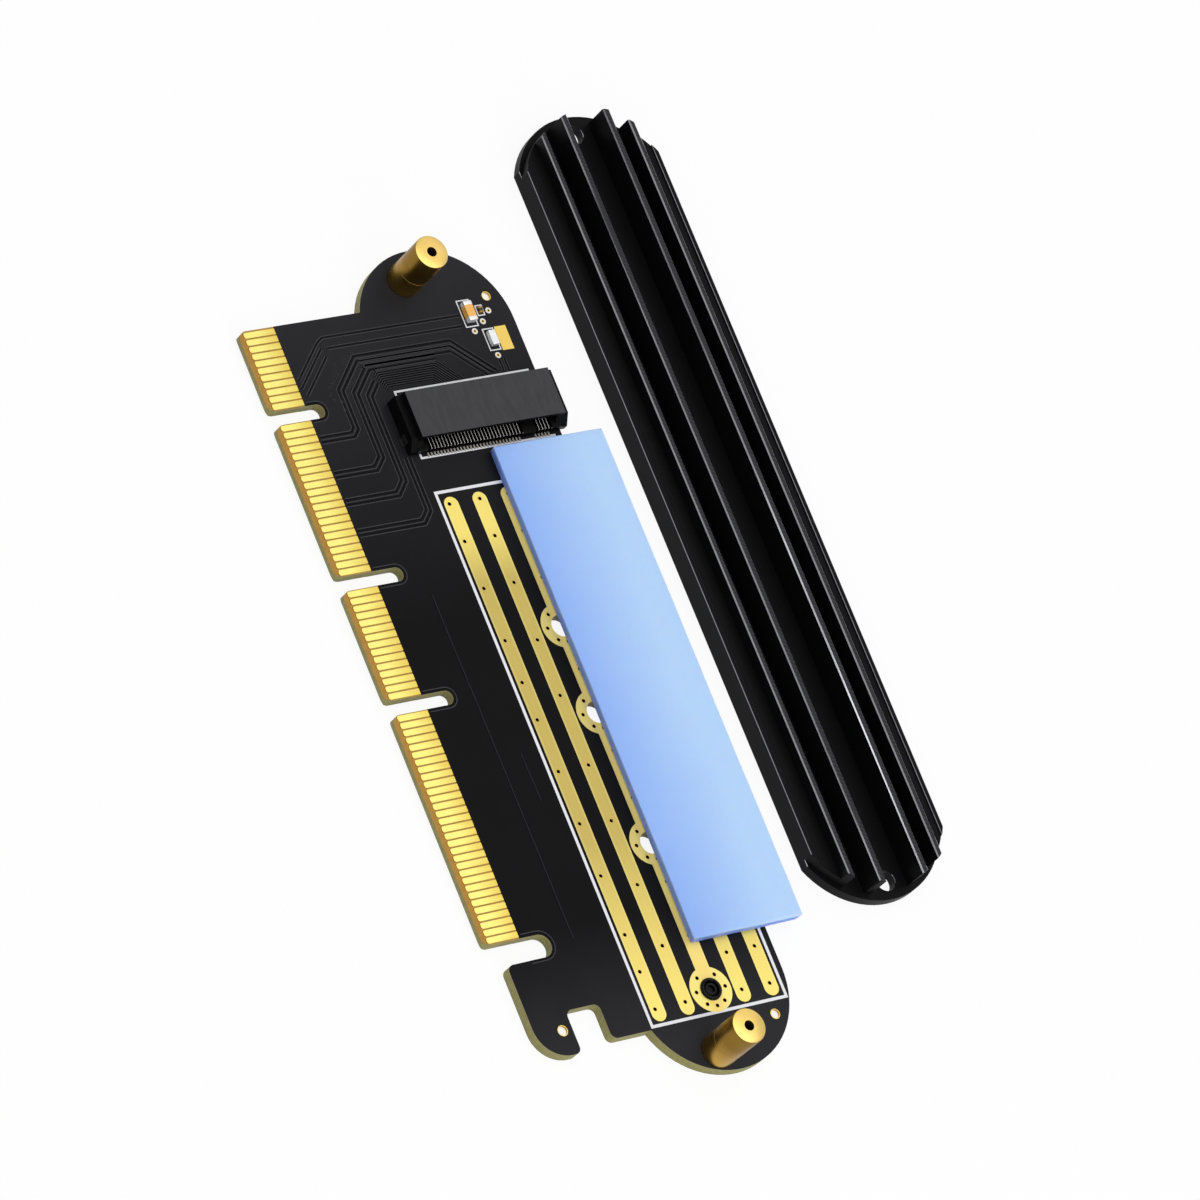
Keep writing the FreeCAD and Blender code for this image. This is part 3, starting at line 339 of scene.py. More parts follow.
bump = add(
    tree, "ShaderNodeBump",
    {"Strength": 0.3, "Distance": 0.03 * MM, "Height": fibres.outputs["Fac"]},
)
tree.links.new(bump.outputs[0], shader.inputs["Normal"])

# The bare laminate in the mask's opening round the contacts and on the bevel's upper face, which the
# plating bath tints brown.
bare_floor = grained_finish(
    "tinted_bare_laminate", 0.6, "#a2721c", "#c2923a", detail=3.0, Roughness=0.5, IOR=1.55
)

board = frame["nodes"]["circuit_board"]
link_finishes(board, solder_mask, laminate, bare_floor)
for face in board.data.polygons:
    level = abs(face.normal.z) > FLAT_UP
    at_top = face.center.z > BOARD_TOP - MASK_DEPTH
    at_bottom = face.center.z < MASK_DEPTH
    if (level and not at_top and not at_bottom) or BEVEL_UP < face.normal.z < FLAT_UP:
        face.material_index = 2
    elif not level:
        face.material_index = 1


# The traces under the mask. Etched gaps show as dark shallow grooves with a raised lip on both
# sides, running from the plug contacts to the drive socket in straight runs and 45-degree turns.
# The fine traces of the data lanes run side by side between them.
def node_tree(name, sizes):
    """A tree of geometry nodes with named number inputs, a finish and one mesh out."""
    tree = bpy.data.node_groups.new(name, "GeometryNodeTree")
    tree.interface.new_socket("Start", in_out="INPUT", socket_type="NodeSocketGeometry")
    for size in sizes:
        tree.interface.new_socket(size, in_out="INPUT", socket_type="NodeSocketFloat")
    tree.interface.new_socket("Finish", in_out="INPUT", socket_type="NodeSocketMaterial")
    tree.interface.new_socket("Mesh", in_out="OUTPUT", socket_type="NodeSocketGeometry")
    return tree, tree.nodes.new("NodeGroupInput").outputs


def end_tree(tree, shape, given):
    """Ends a tree in plain geometry with its finish."""
    real = add(tree, "GeometryNodeRealizeInstances", {0: shape})
    dressed = add(
        tree, "GeometryNodeSetMaterial", {"Geometry": real.outputs[0], "Material": given["Finish"]}
    )
    add(tree, "NodeGroupOutput", {0: dressed.outputs[0]})


def grow(name, start_mesh, tree, **values):
    """Runs a tree on a start mesh and gives its result as a plain mesh object."""
    piece = bpy.data.objects.new(name, start_mesh)
    bpy.context.scene.collection.objects.link(piece)
    modifier = piece.modifiers.new("tree", "NODES")
    modifier.node_group = tree
    for socket in tree.interface.items_tree:
        if socket.in_out == "INPUT" and socket.name in values:
            modifier[socket.identifier] = values[socket.name]
    scene_state = bpy.context.evaluated_depsgraph_get()
    plain = bpy.data.meshes.new_from_object(piece.evaluated_get(scene_state))
    piece.modifiers.clear()
    piece.data = plain
    plain.name = name
    return piece


def lines_mesh(name, routes):
    """A mesh of bare edges along each route's points."""
    points = []
    edges = []
    for route in routes:
        edges += [(len(points) + step, len(points) + step + 1) for step in range(len(route) - 1)]
        points += route
    mesh = bpy.data.meshes.new(name)
    mesh.from_pydata(points, edges, [])
    return mesh


def seat(piece):
    """A finished piece is fixed to the card's one body."""
    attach(piece, "root")
    return piece


contacts_low, contacts_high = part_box("edge_contacts_front")
FIRST_CONTACT_TO_NOTCH = 11.86
notch = Vector((contacts_low.x + FIRST_CONTACT_TO_NOTCH * MM, contacts_high.y, BOARD_TOP))


def on_card(*points):
    """Points on the mask, in millimetres from the first notch's middle and the contacts' ends."""
    return [notch + Vector((x, y, 0)) * MM for x, y in points]


def beside(route, shift):
    """A route moved sideways by so many millimetres, with its corners kept sharp."""
    sides = []
    for start, end in zip(route, route[1:]):
        run = (end - start).normalized()
        sides.append(Vector((run.y, -run.x, 0)))
    sides = [sides[0], *sides, sides[-1]]
    return [
        point + (before + after) / (1 + before.dot(after)) * shift * MM
        for point, before, after in zip(route, sides, sides[1:])
    ]


# In an etched gap the mask lies straight on the glass, and looks darker.
mask_in_gap = grained_finish(
    "solder_mask_on_glass", 0.8, "#0e0e10", "#1a1a1d", Roughness=0.5, IOR=1.5, Specular_IOR_Level=0.05
)

sweep_tree, given = node_tree("swept_line", ["Foot", "Crest", "Rise", "Bend"])
curve = add(sweep_tree, "GeometryNodeMeshToCurve", {0: given["Start"]})
bent = add(
    sweep_tree, "GeometryNodeFilletCurve",
    {"Curve": curve.outputs[0], "Radius": given["Bend"], "Count": 3, "Limit Radius": True},
    mode="POLY",
)
upright = add(sweep_tree, "GeometryNodeSetCurveNormal", {0: bent.outputs[0]}, mode="Z_UP")
double = add(sweep_tree, "ShaderNodeMath", {0: given["Rise"], 1: 2.0}, operation="MULTIPLY")
profile = add(
    sweep_tree, "GeometryNodeCurvePrimitiveQuadrilateral",
    {"Bottom Width": given["Foot"], "Top Width": given["Crest"], "Height": double.outputs[0],
     "Offset": 0.0}, mode="TRAPEZOID",
)
swept = add(
    sweep_tree, "GeometryNodeCurveToMesh",
    {"Curve": upright.outputs[0], "Profile Curve": profile.outputs[0], "Fill Caps": True},
)
end_tree(sweep_tree, swept.outputs[0], given)

# A data track runs between two gaps. Each route is the middle of its track, in card millimetres.
TRACKS = [
    on_card(
        (-1.2, 29.2), (-6.15, 24.2), (-6.15, 9.8), (-2.25, 5.9), (3.1, 5.9), (3.85, 5.15), (3.85, 0.3)
    ),
    on_card((-1.2, 28.15), (-5.35, 23.95), (-5.35, 10.1)),
    on_card((-4.65, 21.3), (-4.65, 11.0), (-1.5, 7.85), (7.4, 7.85), (8.78, 6.45), (8.78, 0.3)),
    on_card((-2.6, 11.4), (-0.85, 9.68), (11.0, 9.68), (12.6, 8.1), (12.6, 0.3)),
    on_card((8.1, 11.47), (15.45, 11.47), (16.83, 10.1), (16.83, 0.3)),
]
# Single gaps part the power areas.
POWER_GAPS = [
    on_card((-9.6, 27.2), (-9.6, 6.2), (-9.0, 5.2), (-4.4, 0.5)),
    on_card((-8.1, 27.0), (-8.1, 6.4)),
    on_card((-8.2, 5.5), (-3.3, 0.5)),
    on_card((-7.0, 5.8), (-2.2, 0.9)),
    on_card((-2.9, 31.2), (-1.2, 31.2)),
    on_card((-2.9, 30.4), (-1.2, 30.4)),
]
# The mask stands back from each notch in the plug's edge, with a dark line round it. Each notch has
# its middle, its inner end and half its width.
KEYS = ((0.0, 2.55, 0.975), (23.0, 4.35, 0.975), (40.0, 4.35, 0.975), (73.53, 4.1, 1.525))


def round_key(place, end, half_width, gap):
    """A line round a notch, so far outside its edge."""
    reach = half_width + gap
    arc = [
        (place - reach * math.cos(angle), end - half_width + reach * math.sin(angle))
        for angle in [math.radians(step) for step in range(0, 181, 15)]
    ]
    return on_card((place - reach, 0.3), *arc, (place + reach, 0.3))


# A thin seam parts two copper areas along the plug.
SEAMS = [
    on_card((26.5, 7.0), (43.0, 7.15), (73.4, 7.3)),
    on_card((49.0, 10.45), (55.5, 10.6)),
]
# The fine lanes lie side by side, each a little shorter than the one before it.
LANE_PITCH = 0.3
LANES = 9
FIRST_LANE = -4.2
LANE_END = -1.2
UPPER_TURN = 21.2
UPPER_FALL = 0.6
LOWER_TURN = 11.9
LOWER_RISE = 0.41
LANE_HOOK = 0.5
lanes = []
for lane in range(LANES):
    shift = lane * LANE_PITCH
    upper_turn = UPPER_TURN - shift * UPPER_FALL
    lower_turn = LOWER_TURN + shift * LOWER_RISE
    lanes.append(on_card(
        (LANE_END, upper_turn + LANE_END - FIRST_LANE - shift),
        (FIRST_LANE + shift, upper_turn), (FIRST_LANE + shift, lower_turn),
        (FIRST_LANE + shift + LANE_HOOK, lower_turn - LANE_HOOK),
    ))
TRACK_TO_GAP = 0.36
TRACK_TO_LIP = 0.57
GAP_TO_LIP = 0.2
gap_lines = [beside(route, side * TRACK_TO_GAP) for route in TRACKS for side in (-1, 1)]
gap_lines += POWER_GAPS + [round_key(*key, 0.18) for key in KEYS]
gaps = grow(
    "trace_gaps", lines_mesh("trace_gaps", gap_lines), sweep_tree,
    Foot=0.3 * MM, Crest=0.28 * MM, Rise=0.006 * MM, Bend=0.3 * MM, Finish=mask_in_gap,
)
seat(gaps)
ridge_lines = [beside(route, side * TRACK_TO_LIP) for route in TRACKS for side in (-1, 0, 1)]
ridge_lines += [beside(route, side * GAP_TO_LIP) for route in POWER_GAPS for side in (-1, 1)]
ridge_lines += [round_key(*key, 0.42) for key in KEYS]
ridges = grow(
    "trace_ridges", lines_mesh("trace_ridges", ridge_lines), sweep_tree,
    Foot=0.17 * MM, Crest=0.07 * MM, Rise=0.026 * MM, Bend=0.3 * MM, Finish=solder_mask,
)
seat(ridges)
seam_lines = grow(
    "mask_seams", lines_mesh("mask_seams", SEAMS), sweep_tree,
    Foot=0.15 * MM, Crest=0.13 * MM, Rise=0.006 * MM, Bend=0.3 * MM, Finish=mask_in_gap,
)
seat(seam_lines)
seam_lips = grow(
    "mask_seam_lips", lines_mesh("mask_seam_lips", [beside(route, -0.13) for route in SEAMS]),
    sweep_tree, Foot=0.12 * MM, Crest=0.05 * MM, Rise=0.018 * MM, Bend=0.3 * MM, Finish=solder_mask,
)
seat(seam_lips)
lane_floor = grow(
    "lane_gaps", lines_mesh("lane_gaps", lanes), sweep_tree,
    Foot=0.32 * MM, Crest=0.3 * MM, Rise=0.006 * MM, Bend=0.2 * MM, Finish=mask_in_gap,
)
seat(lane_floor)
lane_ridges = grow(
    "lane_ridges", lines_mesh("lane_ridges", lanes), sweep_tree,
    Foot=0.13 * MM, Crest=0.05 * MM, Rise=0.026 * MM, Bend=0.2 * MM, Finish=solder_mask,
)
seat(lane_ridges)


# The plug contacts: copper pads plated with nickel and hard gold, set in the mask's opening on both
# faces of the board. The same plating covers the strips, the rims of the holes and the test pads.
def loose_boxes(name, upright_only=False):
    """The lowest and highest corners of each separate group of a node's faces."""
    work = bmesh.new()
    work.from_mesh(frame["nodes"][name].data)
    bmesh.ops.remove_doubles(work, verts=work.verts, dist=SAME_POINT)
    left = {face for face in work.faces if not upright_only or abs(face.normal.z) < 0.1}
    boxes = []
    while left:
        group = [left.pop()]
        for face in group:
            beside_it = {other for edge in face.edges for other in edge.link_faces} & left
            left -= beside_it
            group.extend(beside_it)
        corners = [vert.co for face in group for vert in face.verts]
        boxes.append([
            Vector([pick(corner[axis] for corner in corners) for axis in range(3)])
            for pick in (min, max)
        ])
    work.free()
    return boxes


def points_mesh(name, points):
    """A mesh of bare points."""
    mesh = bpy.data.meshes.new(name)
    mesh.from_pydata(points, [], [])
    return mesh


hard_gold, tree, shader, place = new_finish("hard_gold_plate", Metallic=1.0, Roughness=0.3)
gold_shade = two_tone(tree, place, 6, "#f9dc7c", "#efc75e")[0]
tree.links.new(gold_shade, shader.inputs["Base Color"])
brush = add(
    tree, "ShaderNodeTexNoise", {"Vector": place, "Scale": 1 / (0.12 * MM), "Detail": 2.0}
)
bump = add(
    tree, "ShaderNodeBump",
    {"Strength": 0.15, "Distance": 0.01 * MM, "Height": brush.outputs["Fac"]},
)
tree.links.new(bump.outputs[0], shader.inputs["Normal"])

# The flank of each contact, where the gold lies thin over copper, is redder.
copper_edge = grained_finish(
    "thin_gold_on_copper", 0.5, "#b06a02", "#c47c0a", Metallic=0.9, Roughness=0.4
)
link_finishes(frame["nodes"]["edge_contacts_front"], copper_edge)

face_tree, given = node_tree("contact_face", ["Width", "Length", "Corner"])
outline = add(
    face_tree, "GeometryNodeCurvePrimitiveQuadrilateral",
    {"Width": given["Width"], "Height": given["Length"]}, mode="RECTANGLE",
)
spot = add(
    face_tree, "ShaderNodeSeparateXYZ", {0: add(face_tree, "GeometryNodeInputPosition").outputs[0]}
)
at_outer_end = add(
    face_tree, "ShaderNodeMath", {0: spot.outputs["Y"], 1: 0.0}, operation="LESS_THAN"
)
corner = add(
    face_tree, "ShaderNodeMath", {0: at_outer_end.outputs[0], 1: given["Corner"]},
    operation="MULTIPLY",
)
rounded = add(
    face_tree, "GeometryNodeFilletCurve",
    {"Curve": outline.outputs[0], "Radius": corner.outputs[0], "Count": 4}, mode="POLY",
)
filled = add(face_tree, "GeometryNodeFillCurve", {0: rounded.outputs[0]}, mode="NGONS")
faces = add(
    face_tree, "GeometryNodeInstanceOnPoints",
    {"Points": given["Start"], "Instance": filled.outputs[0]},
)
end_tree(face_tree, faces.outputs[0], given)

# The gold on the contacts' faces carries a painted highlight, pale and bright over the outer part and
# deeper towards the inner ends, with faint streaks along each contact.
contact_gold, tree, shader, place = new_finish("contact_gold_painted_highlight", Metallic=1.0, Roughness=0.3)
apart = add(tree, "ShaderNodeSeparateXYZ", {0: place})
streaks = add(
    tree, "ShaderNodeTexNoise",
    {"Vector": add(tree, "ShaderNodeMapping", {0: place, "Scale": (1.0, 0.12, 1.0)}).outputs[0],
     "Scale": 1 / (0.9 * MM), "Detail": 2.0},
)
STREAK_REACH = 3.0 * MM
streaked = add(
    tree, "ShaderNodeMath", {0: streaks.outputs["Fac"], 1: STREAK_REACH, 2: apart.outputs["Y"]},
    operation="MULTIPLY_ADD",
)
inwards = add(
    tree, "ShaderNodeMapRange",
    {"Value": streaked.outputs[0],
     "From Min": contacts_high.y + STREAK_REACH / 2 - 2.8 * MM,
     "From Max": contacts_high.y + STREAK_REACH / 2 + 0.6 * MM},
)
face_shade = add(
    tree, "ShaderNodeMix",
    {0: inwards.outputs[0], 6: linear("#fdf287"), 7: linear("#e6c658")}, data_type="RGBA",
)
tree.links.new(face_shade.outputs[2], shader.inputs["Base Color"])

FLANK = 0.03 * MM
FACE_LIFT = 0.004 * MM
contacts_by_size = {}
for low, high in loose_boxes("edge_contacts_front"):
    size = (round((high.x - low.x) / MM, 2), round((high.y - low.y) / MM, 2))
    middle = (low + high) / 2
    contacts_by_size.setdefault(size, []).append((middle.x, middle.y + FLANK, high.z + FACE_LIFT))
for number, (size, middles) in enumerate(sorted(contacts_by_size.items())):
    title = f"contact_faces_{number + 1}"
    contact_faces = grow(
        title, points_mesh(title, middles), face_tree,
        Width=size[0] * MM + 2 * FLANK, Length=size[1] * MM - 2 * FLANK, Corner=0.25 * MM,
        Finish=contact_gold,
    )
    seat(contact_faces)

for name in ("edge_contacts_back", "hole_liners", "test_pads", "bare_gold_pad"):
    link_finishes(frame["nodes"][name], hard_gold)

# The long strips carry a painted reflection: darker along their middle, where the drive and its pad
# lie, and bright at both ends. Their sides carry a faint painted highlight. The strip at the pad's
# side is painted brighter against the pad's shadow, and is less glossy.
strip_gold, tree, shader, place = new_finish("strip_gold_plate", Metallic=0.75, Roughness=0.45)
STRIP_PITCH = 4.33 * MM
RING_LINE = 2.55 * MM
apart = add(tree, "ShaderNodeSeparateXYZ", {0: place})
from_line = add(
    tree, "ShaderNodeMath", {0: apart.outputs["Y"], 1: RING_LINE}, operation="SUBTRACT"
)
from_middle = add(
    tree, "ShaderNodeMath", {0: from_line.outputs[0], 1: STRIP_PITCH}, operation="PINGPONG"
)
folded = add(
    tree, "ShaderNodeMath", {0: from_middle.outputs[0], 1: STRIP_PITCH / 2}, operation="SUBTRACT"
)
folded = add(tree, "ShaderNodeMath", {0: folded.outputs[0]}, operation="ABSOLUTE")
at_side = add(
    tree, "ShaderNodeMapRange",
    {"Value": folded.outputs[0],
     "From Min": STRIP_PITCH / 2 - 0.7 * MM, "From Max": STRIP_PITCH / 2 - 1.0 * MM},
)
into_painted_dark = add(
    tree, "ShaderNodeMapRange",
    {"Value": apart.outputs["X"], "From Min": -19 * MM, "From Max": -12 * MM},
)
out_of_painted_dark = add(
    tree, "ShaderNodeMapRange",
    {"Value": apart.outputs["X"], "From Min": 24 * MM, "From Max": 47 * MM},
)
painted_strip_light = add(
    tree, "ShaderNodeMix",
    {0: into_painted_dark.outputs[0], 6: linear("#f6e27a"), 7: linear("#c8b361")}, data_type="RGBA",
)
painted_strip_light = add(
    tree, "ShaderNodeMix",
    {0: out_of_painted_dark.outputs[0], 6: painted_strip_light.outputs[2], 7: linear("#fde77e")}, data_type="RGBA",
)
beside_pad = add(
    tree, "ShaderNodeMapRange",
    {"Value": apart.outputs["Y"], "From Min": RING_LINE - 1.4 * MM, "From Max": RING_LINE - 0.5 * MM},
)
past_pad = add(
    tree, "ShaderNodeMapRange",
    {"Value": apart.outputs["Y"], "From Min": RING_LINE + 1.0 * MM, "From Max": RING_LINE + 2.0 * MM},
)
painted_light_by_pad = add(
    tree, "ShaderNodeMath", {0: beside_pad.outputs[0], 1: past_pad.outputs[0]},
    operation="SUBTRACT",
)
painted_strip_light = add(
    tree, "ShaderNodeMix",
    {0: painted_light_by_pad.outputs[0], 6: painted_strip_light.outputs[2], 7: linear("#ffe27c")}, data_type="RGBA",
)
mirror = add(
    tree, "ShaderNodeMapRange", {"Value": painted_light_by_pad.outputs[0], "To Min": 0.75, "To Max": 0.05}
)
tree.links.new(mirror.outputs[0], shader.inputs["Metallic"])
SIDE_HIGHLIGHT = 0.25
at_side = add(
    tree, "ShaderNodeMath", {0: at_side.outputs[0], 1: SIDE_HIGHLIGHT}, operation="MULTIPLY"
)
strip_shade = add(
    tree, "ShaderNodeMix",
    {0: at_side.outputs[0], 6: painted_strip_light.outputs[2], 7: linear("#fdf3a4")}, data_type="RGBA",
)
tree.links.new(strip_shade.outputs[2], shader.inputs["Base Color"])
STRIPS = ("copper_strip_1", "copper_strip_2", "copper_strip_4", "copper_strip_5", "ring_strip")
for strip in STRIPS:
    link_finishes(frame["nodes"][strip], strip_gold)


# The plated holes: a sleeve of copper in each, plated through from face to face. Its wall is bare
# tin, which catches the white of the table.
tin_wall = grained_finish(
    "tinned_hole_wall", 0.3, "#fffbe8", "#fffef6", Metallic=1.0, Roughness=0.15
)
# The smallest ones, which no screw wears, keep a rim of dark gold at the mouth.
gold_wall, tree, shader, place = new_finish("gold_at_hole_mouth", Metallic=1.0, Roughness=0.2)
gold_shade = two_tone(tree, place, 0.3, "#a87a1e", "#c99a34")[0]
apart = add(tree, "ShaderNodeSeparateXYZ", {0: place})
at_mouth = add(
    tree, "ShaderNodeMapRange",
    {"Value": apart.outputs["Z"],
     "From Min": BOARD_TOP - 0.4 * MM, "From Max": BOARD_TOP - 0.25 * MM},
)
wall_shade = add(
    tree, "ShaderNodeMix",
    {0: at_mouth.outputs[0], 6: linear("#fffef8"), 7: gold_shade}, data_type="RGBA",
)
tree.links.new(wall_shade.outputs[2], shader.inputs["Base Color"])
SMALL_HOLE = 2.4 * MM
UPRIGHT = 0.3
liners = frame["nodes"]["hole_liners"]
small_holes = [
    (low + high) / 2 for low, high in loose_boxes("hole_liners") if high.x - low.x < SMALL_HOLE
]
link_finishes(liners, hard_gold, tin_wall, gold_wall)
for face in liners.data.polygons:
    in_small = any((face.center.xy - middle.xy).length < SMALL_HOLE for middle in small_holes)
    if abs(face.normal.z) < UPRIGHT:
        face.material_index = 2 if in_small else 1


# The vias: holes of half a millimetre drilled through the strips and rings and plated. Each mouth is
# covered by a black disc of painted shade, with a low rim where the plating turns over.
def openings_of(name, widest):
    """The middles of the round holes and discs in a node, up to a width."""
    return [
        Vector(((low.x + high.x) / 2, (low.y + high.y) / 2, high.z))
        for low, high in loose_boxes(name, upright_only=True) if high.x - low.x < widest
    ]


# The black of these discs is painted shade.
via_mouth = grained_finish(
    "painted_hole_shade", 0.2, "#020202", "#0a0806", Roughness=0.8, IOR=1.5, Specular_IOR_Level=0.02
)

mouth_tree, given = node_tree("via_mouth", ["Radius", "Lift"])
disc = add(
    mouth_tree, "GeometryNodeMeshCircle", {"Vertices": 16, "Radius": given["Radius"]},
    fill_type="NGON",
)
lift = add(mouth_tree, "ShaderNodeCombineXYZ", {"Z": given["Lift"]})
raised_disc = add(
    mouth_tree, "GeometryNodeTransform",
    {"Geometry": disc.outputs[0], "Translation": lift.outputs[0]},
)
mouths = add(
    mouth_tree, "GeometryNodeInstanceOnPoints",
    {"Points": given["Start"], "Instance": raised_disc.outputs[0]},
)
end_tree(mouth_tree, mouths.outputs[0], given)

rim_tree, given = node_tree("via_rim", ["Radius", "Rim"])
loop = add(
    rim_tree, "GeometryNodeCurvePrimitiveCircle", {"Resolution": 16, "Radius": given["Radius"]}
)
wire = add(
    rim_tree, "GeometryNodeCurvePrimitiveCircle", {"Resolution": 6, "Radius": given["Rim"]}
)
rim = add(
    rim_tree, "GeometryNodeCurveToMesh", {"Curve": loop.outputs[0], "Profile Curve": wire.outputs[0]}
)
rims = add(
    rim_tree, "GeometryNodeInstanceOnPoints",
    {"Points": given["Start"], "Instance": rim.outputs[0]},
)
end_tree(rim_tree, rims.outputs[0], given)

# Under the mask the vias are tented over, and each shows as a small dimple with a raised ring.
TENTED = on_card(
    (-8.5, 6.0), (-7.4, 6.6), (-5.75, 6.5), (-5.15, 10.2), (-1.5, 6.85), (-6.9, 9.5), (-6.5, 8.6),
    (-6.15, 8.15), (-5.8, 7.7), (-4.4, 6.3), (-4.0, 5.85), (-3.6, 5.4), (-3.2, 5.0), (-2.8, 4.5),
    (-3.0, 7.8), (-2.65, 7.4), (-3.65, 22.3), (-0.7, 5.4), (0.4, 5.4), (-1.9, 4.2), (-1.1, 4.4),
)
PAD_HOLE = 0.14
VIA_RADIUS = 0.25
via_places = [middle for strip in STRIPS for middle in openings_of(strip, 1.0 * MM)]
via_mouths = grow(
    "via_mouths", points_mesh("via_mouths", via_places), mouth_tree,
    Radius=VIA_RADIUS * MM, Lift=0.004 * MM, Finish=via_mouth,
)
seat(via_mouths)
via_rims = grow(
    "via_rims", points_mesh("via_rims", via_places), rim_tree,
    Radius=(VIA_RADIUS + 0.02) * MM, Rim=0.025 * MM, Finish=hard_gold,
)
seat(via_rims)
# The test pads' small holes get the same black discs of painted shade.
pad_places = openings_of("test_pads", 1.0 * MM)
pad_hole_shades = grow(
    "test_pad_holes", points_mesh("test_pad_holes", pad_places), mouth_tree,
    Radius=PAD_HOLE * MM, Lift=0.006 * MM, Finish=via_mouth,
)
seat(pad_hole_shades)
tents = grow(
    "tented_vias", points_mesh("tented_vias", TENTED), rim_tree,
    Radius=0.17 * MM, Rim=0.035 * MM, Finish=solder_mask,
)
seat(tents)
dimples = grow(
    "tented_via_dimples", points_mesh("tented_via_dimples", TENTED), mouth_tree,
    Radius=0.15 * MM, Lift=0.009 * MM, Finish=mask_in_gap,
)
seat(dimples)


# The white print: epoxy ink screened on the mask, a few hundredths of a millimetre thick. It marks
# the drive's place, the socket and each small component.
white_ink = grained_finish("white_epoxy_ink", 0.25, "#d9d9df", "#f2f2f6", Roughness=0.55, IOR=1.5)
for name in ("drive_area_print", "socket_print", "component_print"):
    link_finishes(frame["nodes"][name], white_ink)


# The two standoffs: turned brass posts with a tenon pressed into the board and a tapped hole from
# the top for the heatsink's screws. A fine tool line runs round each post.
def turn(name, centre, outline, finish, steps=72):
    """A closed piece turned on a lathe, from (radius, height) points in millimetres, in order."""
    work = bmesh.new()
    rings = []
    for radius, height in outline:
        count = steps if radius > 1e-6 else 1
        rings.append([
            work.verts.new((
                centre.x + radius * MM * math.cos(2 * math.pi * step / steps),
                centre.y + radius * MM * math.sin(2 * math.pi * step / steps),
                height * MM,
            ))
            for step in range(count)
        ])
    for lower, upper in zip(rings, rings[1:]):
        for step in range(steps):
            corners = [
                lower[step % len(lower)], lower[(step + 1) % len(lower)],
                upper[(step + 1) % len(upper)], upper[step % len(upper)],
            ]
            corners = list(dict.fromkeys(corners))
            if len(corners) > 2:
                work.faces.new(corners)
    bmesh.ops.recalc_face_normals(work, faces=work.faces)
    mesh = bpy.data.meshes.new(name)
    work.to_mesh(mesh)
    work.free()
    mesh.shade_smooth()
    mesh.set_sharp_from_angle(angle=math.radians(32))
    piece = bpy.data.objects.new(name, mesh)
    bpy.context.scene.collection.objects.link(piece)
    piece.data.materials.append(finish)
    return piece


# The turned sides are painted a dark brown, a painted reflection of the black board, and painted
# lighter towards the foot.
turned_brass, tree, shader, place = new_finish("turned_brass", Metallic=1.0, Roughness=0.33)
drawn_out = add(tree, "ShaderNodeMapping", {0: place, "Scale": (0.02, 0.02, 1.0)})
brass_shade, lathe_lines = two_tone(tree, drawn_out.outputs[0], 0.12, "#7d5f22", "#967536")
apart = add(tree, "ShaderNodeSeparateXYZ", {0: place})
painted_light_near_foot = add(
    tree, "ShaderNodeMapRange",
    {"Value": apart.outputs["Z"], "From Min": 6.5 * MM, "From Max": 2.0 * MM},
)
brass_shade = add(
    tree, "ShaderNodeMix",
    {0: painted_light_near_foot.outputs[0], 6: brass_shade, 7: linear("#c9a24c")}, data_type="RGBA",
)
tree.links.new(brass_shade.outputs[2], shader.inputs["Base Color"])
bump = add(tree, "ShaderNodeBump", {"Strength": 0.05, "Distance": 0.01 * MM, "Height": lathe_lines})
tree.links.new(bump.outputs[0], shader.inputs["Normal"])

# The faced top, where the last cut of the tool left clean metal with fine rings, keeps the brass's
# own bright colour.
faced_brass = grained_finish("faced_brass", 2.0, "#f8d06c", "#fcdc88", Metallic=1.0, Roughness=0.3)

# Down the tapped bore the brass is painted nearly black, a painted shade.
brass_bore = grained_finish(
    "brass_bore_painted_shade", 0.3, "#1a1206", "#3a2a10", Metallic=0.8, Roughness=0.5
)

POST_RADIUS = 2.3
TENON_RADIUS = 1.6
BORE_RADIUS = 0.8
THREAD_PITCH = 0.4
THREAD_DEPTH = 0.12
THREAD_TURNS = 11
THREAD_START = 0.12
BORE_DEPTH = 5.0
FOOT_CHAMFER = 0.1
TOP_ROUND = 0.15
TOOL_LINE = 3.3
TOOL_LINE_WIDTH = 0.07
for name in ("upper_standoff", "lower_standoff"):
    low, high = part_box(name)
    foot = BOARD_TOP / MM
    top = high.z / MM
    line = foot + TOOL_LINE
    outline = [
        (0, 0), (TENON_RADIUS, 0), (TENON_RADIUS, foot),
        (POST_RADIUS - FOOT_CHAMFER, foot), (POST_RADIUS, foot + FOOT_CHAMFER),
        (POST_RADIUS, line), (POST_RADIUS - TOOL_LINE_WIDTH, line + TOOL_LINE_WIDTH / 2),
        (POST_RADIUS, line + TOOL_LINE_WIDTH),
        (POST_RADIUS, top - TOP_ROUND), (POST_RADIUS - 0.04, top - 0.05),
        (POST_RADIUS - TOP_ROUND, top), (BORE_RADIUS - THREAD_DEPTH, top),
    ]
    for turn_number in range(THREAD_TURNS):
        crest_height = top - THREAD_START - turn_number * THREAD_PITCH
        outline += [
            (BORE_RADIUS, crest_height), (BORE_RADIUS - THREAD_DEPTH, crest_height - THREAD_PITCH / 2)
        ]
    outline += [(BORE_RADIUS - THREAD_DEPTH, top - BORE_DEPTH), (0, top - BORE_DEPTH)]
    middle = (low + high) / 2
    post = turn(name + "_turned", middle, outline, turned_brass)
    post.data.materials.append(faced_brass)
    post.data.materials.append(brass_bore)
    for face in post.data.polygons:
        from_axis = face.center.xy - middle.xy
        if from_axis.length < (BORE_RADIUS + 0.06) * MM and face.center.z > BOARD_TOP:
            face.material_index = 2
        elif face.normal.z > 0.5 and face.center.z > high.z - 0.2 * MM:
            face.material_index = 1
    seat(post)
    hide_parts(name)


